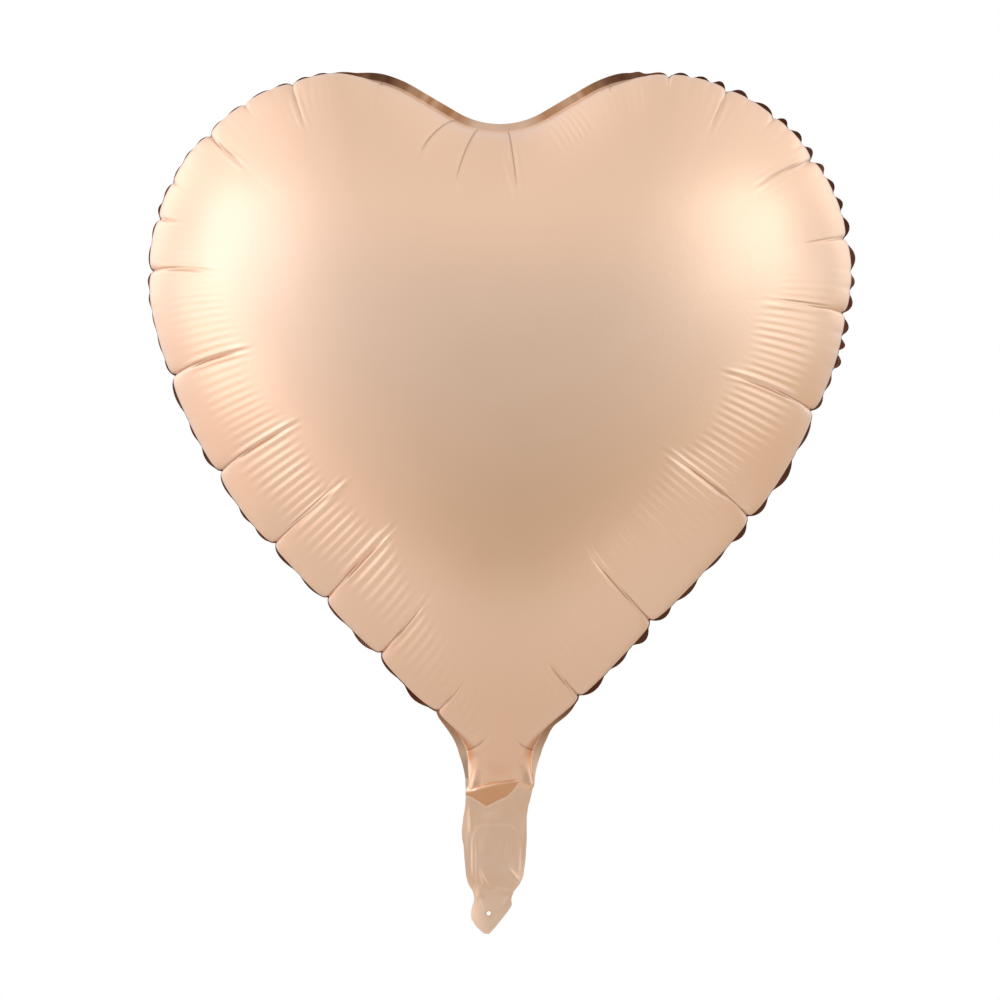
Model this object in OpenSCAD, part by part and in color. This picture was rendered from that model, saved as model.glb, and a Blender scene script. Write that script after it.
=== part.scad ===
// Heart-shaped foil balloon: two foil sheets heat-sealed together round their edge and blown up,
// with a flat filling tail below the neck and a self-closing film valve inside it.
// The heart stands in the XZ plane and faces -Y. The origin is the middle of the fold where the
// tail meets the heart, which is where the ribbon is tied.

/* [Heart] */
// Width of the inflated heart, over its sealed edge
heart_w = 402.5; // [350:0.5:440]
// Depth of the inflated heart at its fattest
heart_depth = 160; // [120:1:180]

/* [Sealed edge] */
// Width of the heat-sealed border round the heart
seal_w = 6; // [4:0.5:6.5]
// Thickness of the fused layer between the two foil sheets
seal_t = 0.8; // [0.8:0.1:1]

/* [Film] */
// Thickness that stands for one foil sheet
foil_t = 0.4; // [0.3:0.05:0.5]
// Thickness that stands for one valve film
valve_t = 0.2; // [0.1:0.02:0.22]

/* [Tail] */
// Width of the flat tail where it leaves the neck
tail_w = 39; // [36:0.5:42]
// Length of the tail below the fold
tail_len = 78.5; // [70:0.5:84]
// Diameter of the ribbon hole punched near the tip
hole_d = 2.5; // [2:0.5:5]

/* [Valve] */
// Width of the flat valve
valve_w = 22; // [16:1:22]
// Length of valve film that stands inside the heart
leaf_len = 58; // [40:1:70]
// Length of valve film inside the tail
inlet_len = 44; // [30:1:44]

/* [Hidden] */

foil_color = [0.91, 0.76, 0.66];
seal_color = [0.80, 0.64, 0.54];
valve_color = [0.86, 0.88, 0.90, 0.5];
strip_color = [0.75, 0.78, 0.80];

// The heart's outline is a chain of tangent arcs, drawn up its right-hand side. Its sizes are those
// of a heart 402.5 wide, and k brings them to the width that is set above.
k = heart_w / 402.5;
neck_r = 55 * k;        // hollow curve from the tail into the flank
flank_lean = 46;        // heading of the straight flank above the horizontal
flank_run = 130 * k;    // length of that straight
flank_r = 285 * k;      // swelling curve between the flank and the lobe
lobe_start = 77;        // heading where the lobe's own arc begins
lobe_r = 117.5 * k;     // outer and top part of the lobe
shoulder_r = 69 * k;    // tighter inner part of the lobe
cleft_slope = 30.5;     // slope down into the cleft
cleft_r = 47 * k;       // hollow curve at the bottom of the cleft

neck_z = 3;                       // the heart's panels end this far above the fold
heart_mid_z = neck_z + 232 * k;   // the height that the rings of the dome shrink towards
dome_rings = 11;                  // rings from the seam to the crown
crown_h = heart_depth / 2 - seal_t / 2 - foil_t;  // rise of the inside of each dome

fold_r = 0.8;           // bead along the fold, on the hinge axis
tail_top = -1.4;        // the tail's films begin here, clear of the bead
tail_seal_w = 4.5;      // width of the tail's side seals
tail_seal_end = -48;    // the side seals stop here, and the tail's mouth is open below
valve_x = -3;           // middle of the valve in the tail, which leans to one side
valve_gap = 0.12;       // half of the gap between the two valve films
leaf_z = neck_z + seal_w + 1;     // foot of the valve leaves inside the heart
strip_w = 17.6;         // release strip that keeps the channel open through the neck seal
strip_t = 0.16;
hole_at = [-6.4, -67];  // x and z of the ribbon hole

// Edges of the tail, from the fold to the tip, for a tail 78.5 long: [height, left edge, right edge]
tail_edges = [[-1.4, -19.4, 17.6], [-6, -19.7, 15.9], [-12, -20.7, 15.2], [-20, -21.7, 15.2],
              [-24.5, -21.6, 15.2], [-28.5, -20.7, 15], [-36, -20.2, 14.5], [-46, -19.2, 13.2],
              [-50.5, -18, 11.2], [-54.6, -15.4, 7.8], [-58.8, -14.5, 6.4], [-62.4, -15.6, 6.8],
              [-66, -16.5, 4.4], [-70, -16.4, 1.2], [-74.5, -13.6, -2.4], [-78.5, -8.6, -6.4]];

// ---- outline ----

// Stations [x, z, heading] along an arc that turns from heading a0 to a1, after its first point
function turn(p, a0, a1, r, n) =
    let (s = sign(a1 - a0))
    [for (i = [1:n]) let (a = a0 + (a1 - a0) * i / n)
        [p.x + s * r * (sin(a) - sin(a0)), p.y - s * r * (cos(a) - cos(a0)), a]];

function ahead(p, a, run) = [p.x + run * cos(a), p.y + run * sin(a), a];
function last(list) = list[len(list) - 1];

neck = concat([[tail_w / 2, neck_z, 90]], turn([tail_w / 2, neck_z], 90, flank_lean, neck_r, 6));
flank_line = [for (i = [1:6]) ahead(last(neck), flank_lean, flank_run * i / 6)];
flank = turn(last(flank_line), flank_lean, lobe_start, flank_r, 7);
lobe = turn(last(flank), lobe_start, 180, lobe_r, 14);
shoulder = turn(last(lobe), 180, 180 + cleft_slope, shoulder_r, 5);
slope_run = (last(shoulder).x - cleft_r * sin(cleft_slope)) / cos(cleft_slope);
slope = [ahead(last(shoulder), 180 + cleft_slope, slope_run)];
cleft = turn(last(slope), 180 + cleft_slope, 180, cleft_r, 5);
stations = concat(neck, flank_line, flank, lobe, shoulder, slope, cleft);

// Right-hand half of the outline, moved in by d, from the bottom of the neck to the cleft
function half_outline(d) = concat([[0, neck_z + d]],
    [for (s = stations) [max(0, s.x - d * sin(s.z)), max(neck_z + d, s.y + d * cos(s.z))]]);

// The whole outline as one loop
function outline(d) =
    let (half = half_outline(d), n = len(half))
    concat(half, [for (i = [n - 2:-1:1]) [-half[i].x, half[i].y]]);

// ---- inflated shape ----

seam = half_outline(seal_w);
widest = max([for (p = seam) p.x]);
side_table = [for (p = seam) if (p.x > 0 && p.x >= 0.1 * widest) [p.y, p.x]];
lobe_top = max([for (p = seam) p.y]);
rising = [for (i = [1:len(seam) - 1]) if (seam[i].y > seam[i - 1].y) [seam[i].y, seam[i].x]];
under = [for (i = [1:len(seam) - 1]) if (seam[i].x > seam[i - 1].x) [seam[i].x, seam[i].y]];
over = [for (i = [len(seam) - 1:-1:1]) if (i == len(seam) - 1 || seam[i].x > seam[i + 1].x)
    [seam[i].x, seam[i].y]];

// How far a point is inside the seam, squared: the product of the two parts of the level chord
// through it, and of the upright one, joined as resistances in parallel are
function inside(x, z) =
    let (w = lookup(z, rising),
         across = max(0.01, w * w - x * x),
         up = max(0.01, (z - lookup(abs(x), under)) * (lookup(abs(x), over) - z)))
    2 / (1 / across + 1 / up);

inside_crown = inside(0, heart_mid_z);

// A blown-up film rises straight up from its seam and flattens towards the crown
function rise(x, z) =
    let (q = min(1, inside(x, z) / inside_crown))
    crown_h * sqrt(q) * (1.18 - 0.18 * q);

function ring(loop, share, lift) =
    [for (p = loop) let (x = p.x * share, z = heart_mid_z + (p.y - heart_mid_z) * share)
        [x, -(seal_t / 2 + lift + (share == 1 ? 0 : rise(x, z))), z]];

function flat_ring(loop, lift) = [for (p = loop) [p.x, -(seal_t / 2 + lift), p.y]];

// One dome of foil with its flat border, closed all round: a run of rings from the crown's inner
// face, out to the border's edge and back over the outer face to the crown
module panel() {
    edge = outline(0);
    seam_out = outline(seal_w);
    seam_in = outline(seal_w + foil_t);
    shares = [for (j = [0:dome_rings - 1]) cos(90 * j / dome_rings)];
    n = len(edge);
    rings = concat([for (j = [dome_rings - 1:-1:0]) ring(seam_in, shares[j], 0)],
                   [flat_ring(edge, 0), flat_ring(edge, foil_t)],
                   [for (s = shares) ring(seam_out, s, foil_t)]);
    m = len(rings);
    crown_in = [0, -(seal_t / 2 + crown_h), heart_mid_z];
    crown_out = crown_in - [0, foil_t, 0];
    points = concat([for (r = rings) each r], [crown_in, crown_out]);
    sides = [for (j = [0:m - 2], i = [0:n - 1])
        let (a = j * n + i, b = j * n + (i + 1) % n)
        each [[a, b, b + n], [a, b + n, a + n]]];
    caps = [for (i = [0:n - 1]) let (j = (i + 1) % n)
        each [[m * n, j, i], [m * n + 1, (m - 1) * n + i, (m - 1) * n + j]]];
    polyhedron(points, concat(sides, caps), convexity = 6);
}

// A flat outline in the XZ plane, given a thickness between two values of y
module sheet_between(y0, y1) {
    translate([0, y1, 0]) rotate([90, 0, 0]) linear_extrude(y1 - y0) children();
}

module front_panel() { color(foil_color) panel(); }

module back_panel() { color(foil_color) mirror([0, 1, 0]) panel(); }

module edge_seal() {
    inner_w = tail_w - 2 * seal_w;
    color(seal_color) sheet_between(-seal_t / 2, seal_t / 2) difference() {
        polygon(outline(0));
        polygon(outline(seal_w));
        translate([-inner_w / 2, 0]) square([inner_w, neck_z + seal_w + 1]);
    }
}

// The seal across the neck, with the fold's bead below it and the valve's flat channel through it
module neck_seal() {
    bar_w = tail_w - 2 * seal_w;
    web_w = tail_w - 2;
    color(seal_color) difference() {
        union() {
            translate([-bar_w / 2, -seal_t / 2, neck_z]) cube([bar_w, seal_t, seal_w]);
            translate([-web_w / 2, -0.3, 0]) cube([web_w, 0.6, neck_z]);
            translate([-web_w / 2, 0, 0]) rotate([0, 90, 0]) cylinder(h = web_w, r = fold_r, $fn = 48);
        }
        translate([-strip_w / 2, -strip_t / 2, -1]) cube([strip_w, strip_t, neck_z + seal_w + 2]);
    }
}

module release_strip() {
    color(strip_color)
        translate([-strip_w / 2 + 0.1, -strip_t / 2 + 0.02, -0.6])
        cube([strip_w - 0.2, strip_t - 0.04, leaf_z + 4]);
}

// ---- tail ----

function blend(p, q, r, s, t) = 0.5 * (2 * q + (r - p) * t + (2 * p - 5 * q + 4 * r - s) * t * t
    + (3 * q - p - 3 * r + s) * t * t * t);

// The tail's edges as a smooth curve through the rows of tail_edges, its tip moved to the set length
function tail_rows(steps) =
    let (n = len(tail_edges), grow = (tail_len - 50) / 28.5)
    [for (i = [0:n - 2], j = [0:steps - 1])
        let (row = blend(tail_edges[max(0, i - 1)], tail_edges[i], tail_edges[i + 1],
                         tail_edges[min(n - 1, i + 2)], j / steps))
        [row[0] < -50 ? -50 + (row[0] + 50) * grow : row[0], row[1], row[2]]];

tail_curve = concat(tail_rows(3), [[-tail_len, -8.6, -6.4]]);

module tail_outline() {
    polygon(concat([for (r = tail_curve) [r[2], r[0]]],
                   [for (i = [len(tail_curve) - 1:-1:0]) [tail_curve[i][1], tail_curve[i][0]]]));
}

// One foil sheet of the tail, with the ribbon hole punched through it
module tail_sheet(y0) {
    color(foil_color) difference() {
        sheet_between(y0, y0 + foil_t) tail_outline();
        translate([hole_at.x, y0 - 1, hole_at.y]) rotate([-90, 0, 0])
            cylinder(h = foil_t + 2, d = hole_d, $fn = 48);
    }
}

module tail_front() { tail_sheet(-seal_t / 2 - foil_t); }

module tail_back() { tail_sheet(seal_t / 2); }

// The fused strip down one side of the tail: column is 1 for the left edge and 2 for the right
module tail_seal(column) {
    inward = column == 1 ? tail_seal_w : -tail_seal_w;
    rows = [for (r = tail_curve) if (r[0] >= tail_seal_end - 0.01) r];
    color(seal_color) sheet_between(-seal_t / 2, seal_t / 2)
        polygon(concat([for (r = rows) [r[column], r[0]]],
                       [for (i = [len(rows) - 1:-1:0]) [rows[i][column] + inward, rows[i][0]]]));
}

module tail_seal_left() { tail_seal(1); }

module tail_seal_right() { tail_seal(2); }

// ---- valve ----

// A flat film between two heights, with the corners at its free end rounded
module valve_film(x, z0, z1, side) {
    corner_r = 4;
    far = valve_gap + valve_t;
    free = z1 > z0 ? z1 - corner_r : z1 + corner_r;
    color(valve_color) sheet_between(side > 0 ? valve_gap : -far, side > 0 ? far : -valve_gap)
        translate([x, 0]) union() {
            translate([-valve_w / 2, min(z0, free)]) square([valve_w, abs(free - z0)]);
            translate([-valve_w / 2 + corner_r, min(free, z1)])
                square([valve_w - 2 * corner_r, corner_r]);
            for (sx = [-1, 1]) translate([sx * (valve_w / 2 - corner_r), free])
                circle(r = corner_r, $fn = 32);
        }
}

module valve_inlet_front() { valve_film(valve_x, tail_top - 0.6, tail_top - 0.6 - inlet_len, -1); }

module valve_inlet_back() { valve_film(valve_x, tail_top - 0.6, tail_top - 0.6 - inlet_len, 1); }

module valve_leaf_front() { valve_film(0, leaf_z, leaf_z + leaf_len, -1); }

module valve_leaf_back() { valve_film(0, leaf_z, leaf_z + leaf_len, 1); }

front_panel();
back_panel();
edge_seal();
neck_seal();
release_strip();
tail_front();
tail_back();
tail_seal_left();
tail_seal_right();
valve_inlet_front();
valve_inlet_back();
valve_leaf_front();
valve_leaf_back();
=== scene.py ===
"""Heart-shaped foil balloon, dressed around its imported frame.

The balloon hangs with its heart in the XZ plane and its front towards -Y. Two sheets of satin
metallised film are fused round their edge; blown up, they pucker into lobes between sharp creases.
"""

import logging
import math
from dataclasses import dataclass, field
from enum import Enum

import bpy
import numpy as np
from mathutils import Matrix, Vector


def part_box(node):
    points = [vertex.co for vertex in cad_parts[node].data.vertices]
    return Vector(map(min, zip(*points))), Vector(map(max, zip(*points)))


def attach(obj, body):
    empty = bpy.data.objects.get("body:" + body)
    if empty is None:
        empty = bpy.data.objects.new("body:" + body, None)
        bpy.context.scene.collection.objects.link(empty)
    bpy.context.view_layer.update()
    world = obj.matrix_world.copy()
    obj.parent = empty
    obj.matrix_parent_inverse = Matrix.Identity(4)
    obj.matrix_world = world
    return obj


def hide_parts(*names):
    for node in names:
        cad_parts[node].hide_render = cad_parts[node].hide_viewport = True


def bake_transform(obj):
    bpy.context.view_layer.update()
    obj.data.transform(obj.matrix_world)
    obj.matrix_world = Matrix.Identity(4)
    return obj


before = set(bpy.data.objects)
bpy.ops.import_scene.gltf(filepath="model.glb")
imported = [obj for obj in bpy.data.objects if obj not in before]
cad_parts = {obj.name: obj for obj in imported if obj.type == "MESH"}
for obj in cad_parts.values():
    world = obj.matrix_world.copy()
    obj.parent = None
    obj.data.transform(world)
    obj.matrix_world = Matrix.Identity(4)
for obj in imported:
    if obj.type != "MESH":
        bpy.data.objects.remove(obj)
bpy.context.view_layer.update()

LOG = logging.getLogger("foil_balloon")
MM = 0.001
SEED = 18
CROWN_GAP = 1.5 * MM  # how far the film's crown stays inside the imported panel's
CLEFT_FLOOR = 0.3  # points near the middle and higher than this are in the cleft, in metres


class Side(Enum):
    """Which of the two sheets a piece belongs to; the value is the sign of its outward y."""

    FRONT = -1.0
    BACK = 1.0


class Sharpness(Enum):
    """How hard a crease is folded; the value scales its groove."""

    HARD = 1.0
    FIRM = 0.75
    SOFT = 0.45
    FAINT = 0.2


def smooth_step(value: np.ndarray, start: float, stop: float) -> np.ndarray:
    """Ease from 0 at start to 1 at stop.

    Args:
        value: Where to read the curve.
        start: The value at which it leaves 0.
        stop: The value at which it reaches 1; it may be below start.

    Returns:
        The eased share at each value.
    """
    share = np.clip((value - start) / (stop - start), 0.0, 1.0)
    return share * share * (3.0 - 2.0 * share)


def window(value: np.ndarray, start: float, stop: float, soft: float) -> np.ndarray:
    """A plateau of 1 between start and stop, easing to 0 over soft on either side.

    Args:
        value: Where to read the window.
        start: Where the plateau begins.
        stop: Where the plateau ends.
        soft: The width of each easing flank.

    Returns:
        The window's height at each value.
    """
    return smooth_step(value, start - soft, start) * smooth_step(value, stop + soft, stop)


def bell(value: np.ndarray, half: float) -> np.ndarray:
    """A soft peak of 1 where value is 0, down to 0.37 at half on either side."""
    return np.exp(-(value / half) ** 2)


class SmoothNoise:
    """Seeded one-dimensional noise that repeats round a closed length."""

    def __init__(self, seed: int, length: float, spacing: float) -> None:
        """Draw the knots of the noise.

        Args:
            seed: The seed of the draw.
            length: The closed length that the noise repeats over.
            spacing: The distance between two knots.
        """
        self.count = max(4, int(round(length / spacing)))
        self.length = length
        self.knots = np.random.default_rng(seed).uniform(-1.0, 1.0, self.count)

    def at(self, where: np.ndarray) -> np.ndarray:
        """Read the noise, from -1 to 1, at distances along the closed length.

        Args:
            where: Distances along the closed length.

        Returns:
            The noise at each of them.
        """
        place = (where / self.length % 1.0) * self.count
        low = np.floor(place).astype(int)
        share = place - low
        share = share * share * (3.0 - 2.0 * share)
        first, second = self.knots[low % self.count], self.knots[(low + 1) % self.count]
        return first + (second - first) * share


# ---------------------------------------------------------------- outline


@dataclass
class HeartOutline:
    """The outer edge of the sealed border: a chain of tangent arcs, the same left and right."""

    width: float
    foot: float
    neck_half: float = 19.5 * MM
    neck_r: float = 55 * MM
    flank_lean: float = 46.0
    flank_run: float = 130 * MM
    flank_r: float = 285 * MM
    lobe_start: float = 77.0
    lobe_r: float = 117.5 * MM
    shoulder_r: float = 69 * MM
    cleft_slope: float = 30.5
    cleft_r: float = 47 * MM
    drawn_width: float = 402.5 * MM

    def half(self, inset: float, neck_inset: float) -> np.ndarray:
        """Points up the right-hand side, from the foot of the neck to the cleft.

        Args:
            inset: How far the line is moved in from the outer edge.
            neck_inset: How far it is moved in down the neck.

        Returns:
            An array of x and z.
        """
        grow = self.width / self.drawn_width
        spot = np.array([self.neck_half, self.foot])
        parts = [(spot[None, :], np.array([90.0]))]

        def turn(radius: float, start: float, stop: float) -> None:
            """Add an arc that turns from one heading to another.

            Args:
                radius: The arc's radius.
                start: The heading it starts with, in degrees.
                stop: The heading it ends with.
            """
            nonlocal spot
            steps = max(8, int(abs(stop - start)))
            angles = np.linspace(start, stop, steps + 1)[1:]
            sign = math.copysign(1.0, stop - start)
            a0, a = math.radians(start), np.radians(angles)
            xs = spot[0] + sign * radius * grow * (np.sin(a) - math.sin(a0))
            zs = spot[1] - sign * radius * grow * (np.cos(a) - math.cos(a0))
            line = np.stack([xs, zs], axis=1)
            parts.append((line, angles))
            spot = line[-1]

        def run(length: float, heading: float) -> None:
            """Add a straight.

            Args:
                length: The straight's length.
                heading: Its heading, in degrees.
            """
            nonlocal spot
            steps = max(2, int(length / (3 * MM)))
            a = math.radians(heading)
            ways = np.linspace(0.0, length, steps + 1)[1:, None]
            line = spot + ways * np.array([math.cos(a), math.sin(a)])
            parts.append((line, np.full(steps, heading)))
            spot = line[-1]

        turn(self.neck_r, 90.0, self.flank_lean)
        run(self.flank_run * grow, self.flank_lean)
        turn(self.flank_r, self.flank_lean, self.lobe_start)
        turn(self.lobe_r, self.lobe_start, 180.0)
        turn(self.shoulder_r, 180.0, 180.0 + self.cleft_slope)
        slope = math.radians(self.cleft_slope)
        run((spot[0] - self.cleft_r * grow * math.sin(slope)) / math.cos(slope),
            180.0 + self.cleft_slope)
        turn(self.cleft_r, 180.0 + self.cleft_slope, 180.0)
        line = np.concatenate([p for p, _ in parts])
        heading = np.radians(np.concatenate([a for _, a in parts]))
        moved = neck_inset + (inset - neck_inset) * self.above_neck(line[:, 1])
        return line + moved[:, None] * np.stack([-np.sin(heading), np.cos(heading)], axis=1)

    def above_neck(self, z: np.ndarray) -> np.ndarray:
        """How far heights z are out of the neck, from 0 in it to 1 above it."""
        return smooth_step(z, self.foot + 8 * MM, self.foot + 23 * MM)


@dataclass
class SeamLine:
    """The inner edge of the sealed border as one closed loop, measured along its length."""

    outline: HeartOutline
    seal_w: float = 5.6 * MM
    neck_inset: float = 2.2 * MM
    foot_round: float = 7 * MM
    foot_drop: float = 2 * MM
    roundness: float = 2.8
    count: int = 1600
    points: np.ndarray = field(init=False)
    outward: np.ndarray = field(init=False)
    along: np.ndarray = field(init=False)
    length: float = field(init=False)

    def __post_init__(self) -> None:
        """Close the loop with a rounded foot and space its points evenly."""
        side = self.outline.half(self.seal_w, self.neck_inset)
        low = self.outline.foot - self.foot_drop
        side = side[side[:, 1] >= low + self.foot_round]
        turn = np.linspace(0.0, math.pi / 2, 24)[:-1]
        power = 2.0 / self.roundness
        foot = np.stack([side[0, 0] * np.sin(turn) ** power,
                         low + self.foot_round * (1.0 - np.cos(turn) ** power)], axis=1)
        half = np.concatenate([foot, side])
        half[-1, 0] = 0.0
        loop = np.concatenate([half, half[-2:0:-1] * [-1.0, 1.0]])
        self.points, self.length = self._even(loop)
        step = np.roll(self.points, -1, 0) - np.roll(self.points, 1, 0)
        step /= np.linalg.norm(step, axis=1, keepdims=True)
        self.outward = np.stack([step[:, 1], -step[:, 0]], axis=1)
        self.along = np.arange(self.count) * self.length / self.count

    def _even(self, loop: np.ndarray) -> tuple[np.ndarray, float]:
        """Space a closed loop's points evenly.

        Args:
            loop: The corners of the loop.

        Returns:
            The evenly spaced points and the loop's length.
        """
        closed = np.concatenate([loop, loop[:1]])
        ways = np.concatenate([[0.0], np.cumsum(np.linalg.norm(np.diff(closed, axis=0), axis=1))])
        marks = np.arange(self.count) * ways[-1] / self.count
        even = np.stack([np.interp(marks, ways, closed[:, i]) for i in range(2)], axis=1)
        return even, float(ways[-1])

    def at(self, where: np.ndarray) -> tuple[np.ndarray, np.ndarray]:
        """Points and outward directions at distances along the seam.

        Args:
            where: Distances from the foot, anticlockwise as seen from the front.

        Returns:
            The points and their outward unit vectors.
        """
        marks = np.append(self.along, self.length)
        spots, outs = (np.stack([np.interp(where % self.length, marks, np.append(known[:, i], known[0, i]))
                                 for i in range(2)], axis=1) for known in (self.points, self.outward))
        return spots, outs / np.linalg.norm(outs, axis=1, keepdims=True)

    def noise(self, number: int, spacing: float, along: np.ndarray) -> np.ndarray:
        """Noise that closes round the seam.

        Args:
            number: Which of the noises; it is added to the common seed.
            spacing: The distance between two knots, in millimetres.
            along: Where to read it, as distances along the seam.

        Returns:
            The noise there, from -1 to 1.
        """
        return SmoothNoise(SEED + number, self.length, spacing * MM).at(along)

    def inset_at(self, z: np.ndarray) -> np.ndarray:
        """How far the seam lies in from the border's outer edge at heights z."""
        return self.neck_inset + (self.seal_w - self.neck_inset) * self.outline.above_neck(z)

    def nearest(self, x: float, z: float) -> float:
        """The distance along the seam of the point nearest to x and z."""
        return float(self.along[np.argmin(np.hypot(self.points[:, 0] - x, self.points[:, 1] - z))])


@dataclass
class InflationField:
    """The height field of a film blown up inside a seam.

    It solves the soap-film equation inside the seam with simple sources set outside it, so that the
    field and its slope are smooth everywhere.
    """

    seam: SeamLine
    source_gap: float = 13 * MM
    crown_low: float = 0.15
    crown_high: float = 0.32
    crown_steps: int = 400
    sources: np.ndarray = field(init=False)
    weights: np.ndarray = field(init=False)
    middle: np.ndarray = field(init=False)
    crown: np.ndarray = field(init=False)
    top: float = field(init=False)

    def __post_init__(self) -> None:
        """Fit the sources and find the crown."""
        self.sources = (self.seam.points + self.seam.outward * self.source_gap)[::5]
        self.middle = np.array([0.0, 0.24])
        rim = self.seam.points[::2]
        gap = np.linalg.norm(rim[:, None] - self.sources[None], axis=2)
        terms = np.concatenate([np.log(gap), np.ones((len(rim), 1))], axis=1)
        want = ((rim - self.middle) ** 2).sum(1) / 4.0
        self.weights = np.linalg.lstsq(terms, want, rcond=1e-9)[0]
        heights = np.linspace(self.crown_low, self.crown_high, self.crown_steps)
        line = np.stack([np.zeros(self.crown_steps), heights], axis=1)
        values = self.value(line)
        self.crown = line[int(np.argmax(values))]
        self.top = float(values.max())

    def value(self, spots: np.ndarray) -> np.ndarray:
        """The field at a list of points.

        Args:
            spots: The points, as x and z.

        Returns:
            The field at each of them.
        """
        gap = np.linalg.norm(spots[:, None] - self.sources[None], axis=2)
        pull = np.log(gap) @ self.weights[:-1] + self.weights[-1]
        return pull - ((spots - self.middle) ** 2).sum(1) / 4.0

    def slope(self, spots: np.ndarray) -> np.ndarray:
        """The gradient of the field at a list of points.

        Args:
            spots: The points, as x and z.

        Returns:
            The gradient at each of them.
        """
        gap = spots[:, None] - self.sources[None]
        share = self.weights[:-1] / (gap ** 2).sum(2)
        return np.einsum("ij,ijk->ik", share, gap) - (spots - self.middle) / 2.0

    def climb(self, start: np.ndarray, levels: np.ndarray) -> np.ndarray:
        """Follow the field's steepest lines inwards from the seam.

        Args:
            start: The points on the seam.
            levels: Rising shares of the crown's value, the first of them 0.

        Returns:
            The points of each line at each level, as an array of level, line and x or z.
        """
        rows = [start]
        spots = start.copy()
        for low, high in zip(levels[:-1], levels[1:]):
            step = (high - low) * self.top

            def way(at: np.ndarray) -> np.ndarray:
                """How a point moves for each unit that the field rises."""
                slope = self.slope(at)
                return slope / np.maximum((slope ** 2).sum(1, keepdims=True), 1e-9)

            a = way(spots)
            b = way(spots + a * step / 2)
            c = way(spots + b * step / 2)
            d = way(spots + c * step)
            spots = spots + (a + 2 * b + 2 * c + d) * step / 6
            rows.append(spots)
        return np.stack(rows)


# ---------------------------------------------------------------- puckers


@dataclass(frozen=True)
class Crease:
    """A fold in the film that runs in from the seam between two lobes."""

    x: float
    z: float
    length: float
    sharpness: Sharpness = Sharpness.HARD
    lap: float = 1.0
    sweep: float = 0.0
    single: bool = False


def crease(x: float, z: float, length: float, sharpness: Sharpness = Sharpness.HARD, lap: float = 1.0,
           sweep: float = 0.0, single: bool = False) -> Crease:
    """A crease with its place, length and sweep given in millimetres."""
    return Crease(x * MM, z * MM, length * MM, sharpness, lap, sweep * MM, single)


# Each crease: x and z of its mouth, length, how hard it is, which way it laps, sweep, one groove only.
CREASES = (
    crease(16, 26, 11, Sharpness.FIRM, -1.0, 0.0, True),
    crease(43, 58, 27, Sharpness.FIRM, -1.0),
    crease(84, 100, 48, Sharpness.HARD, -1.0),
    crease(138, 160, 51, Sharpness.HARD, -1.0),
    crease(177, 218, 47, Sharpness.HARD, -1.0),
    crease(195, 273, 41, Sharpness.FIRM, 1.0),
    crease(196, 316, 27, Sharpness.SOFT, 1.0),
    crease(177, 360, 32, Sharpness.FIRM, 1.0, -5.0),
    crease(154, 383, 5, Sharpness.FAINT, -1.0),
    crease(128, 399, 24, Sharpness.SOFT, 1.0),
    crease(96, 409, 6, Sharpness.SOFT, 1.0),
    crease(60, 407, 5, Sharpness.FAINT, 1.0),
    crease(-66, 408, 5, Sharpness.FAINT, 1.0),
    crease(-118, 403, 25, Sharpness.SOFT, -1.0),
    crease(-143, 390, 5, Sharpness.FAINT, 1.0),
    crease(-163, 372, 25, Sharpness.FIRM, -1.0),
    crease(-185, 347, 5, Sharpness.FAINT, 1.0),
    crease(-194, 327, 14, Sharpness.SOFT, -1.0),
    crease(-196, 297, 32, Sharpness.FIRM, 1.0),
    crease(-186, 237, 40, Sharpness.HARD, 1.0),
    crease(-157, 184, 45, Sharpness.HARD, 1.0),
    crease(-128, 143, 46, Sharpness.HARD, -1.0),
    crease(-98, 112, 48, Sharpness.HARD, 1.0),
    crease(-67, 81, 38, Sharpness.HARD, 1.0),
    crease(-35, 48, 24, Sharpness.FIRM, 1.0),
    crease(-15, 26, 13, Sharpness.FIRM, 1.0, 0.0, True),
)

CLEFT_TUCKS = (
    crease(-28, 379, 30, Sharpness.HARD, 1.0, -10.0, True),
    crease(-13, 375, 38, Sharpness.HARD, 1.0, -7.0, True),
    crease(5, 374, 38, Sharpness.HARD, -1.0, 3.0, True),
)


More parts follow.
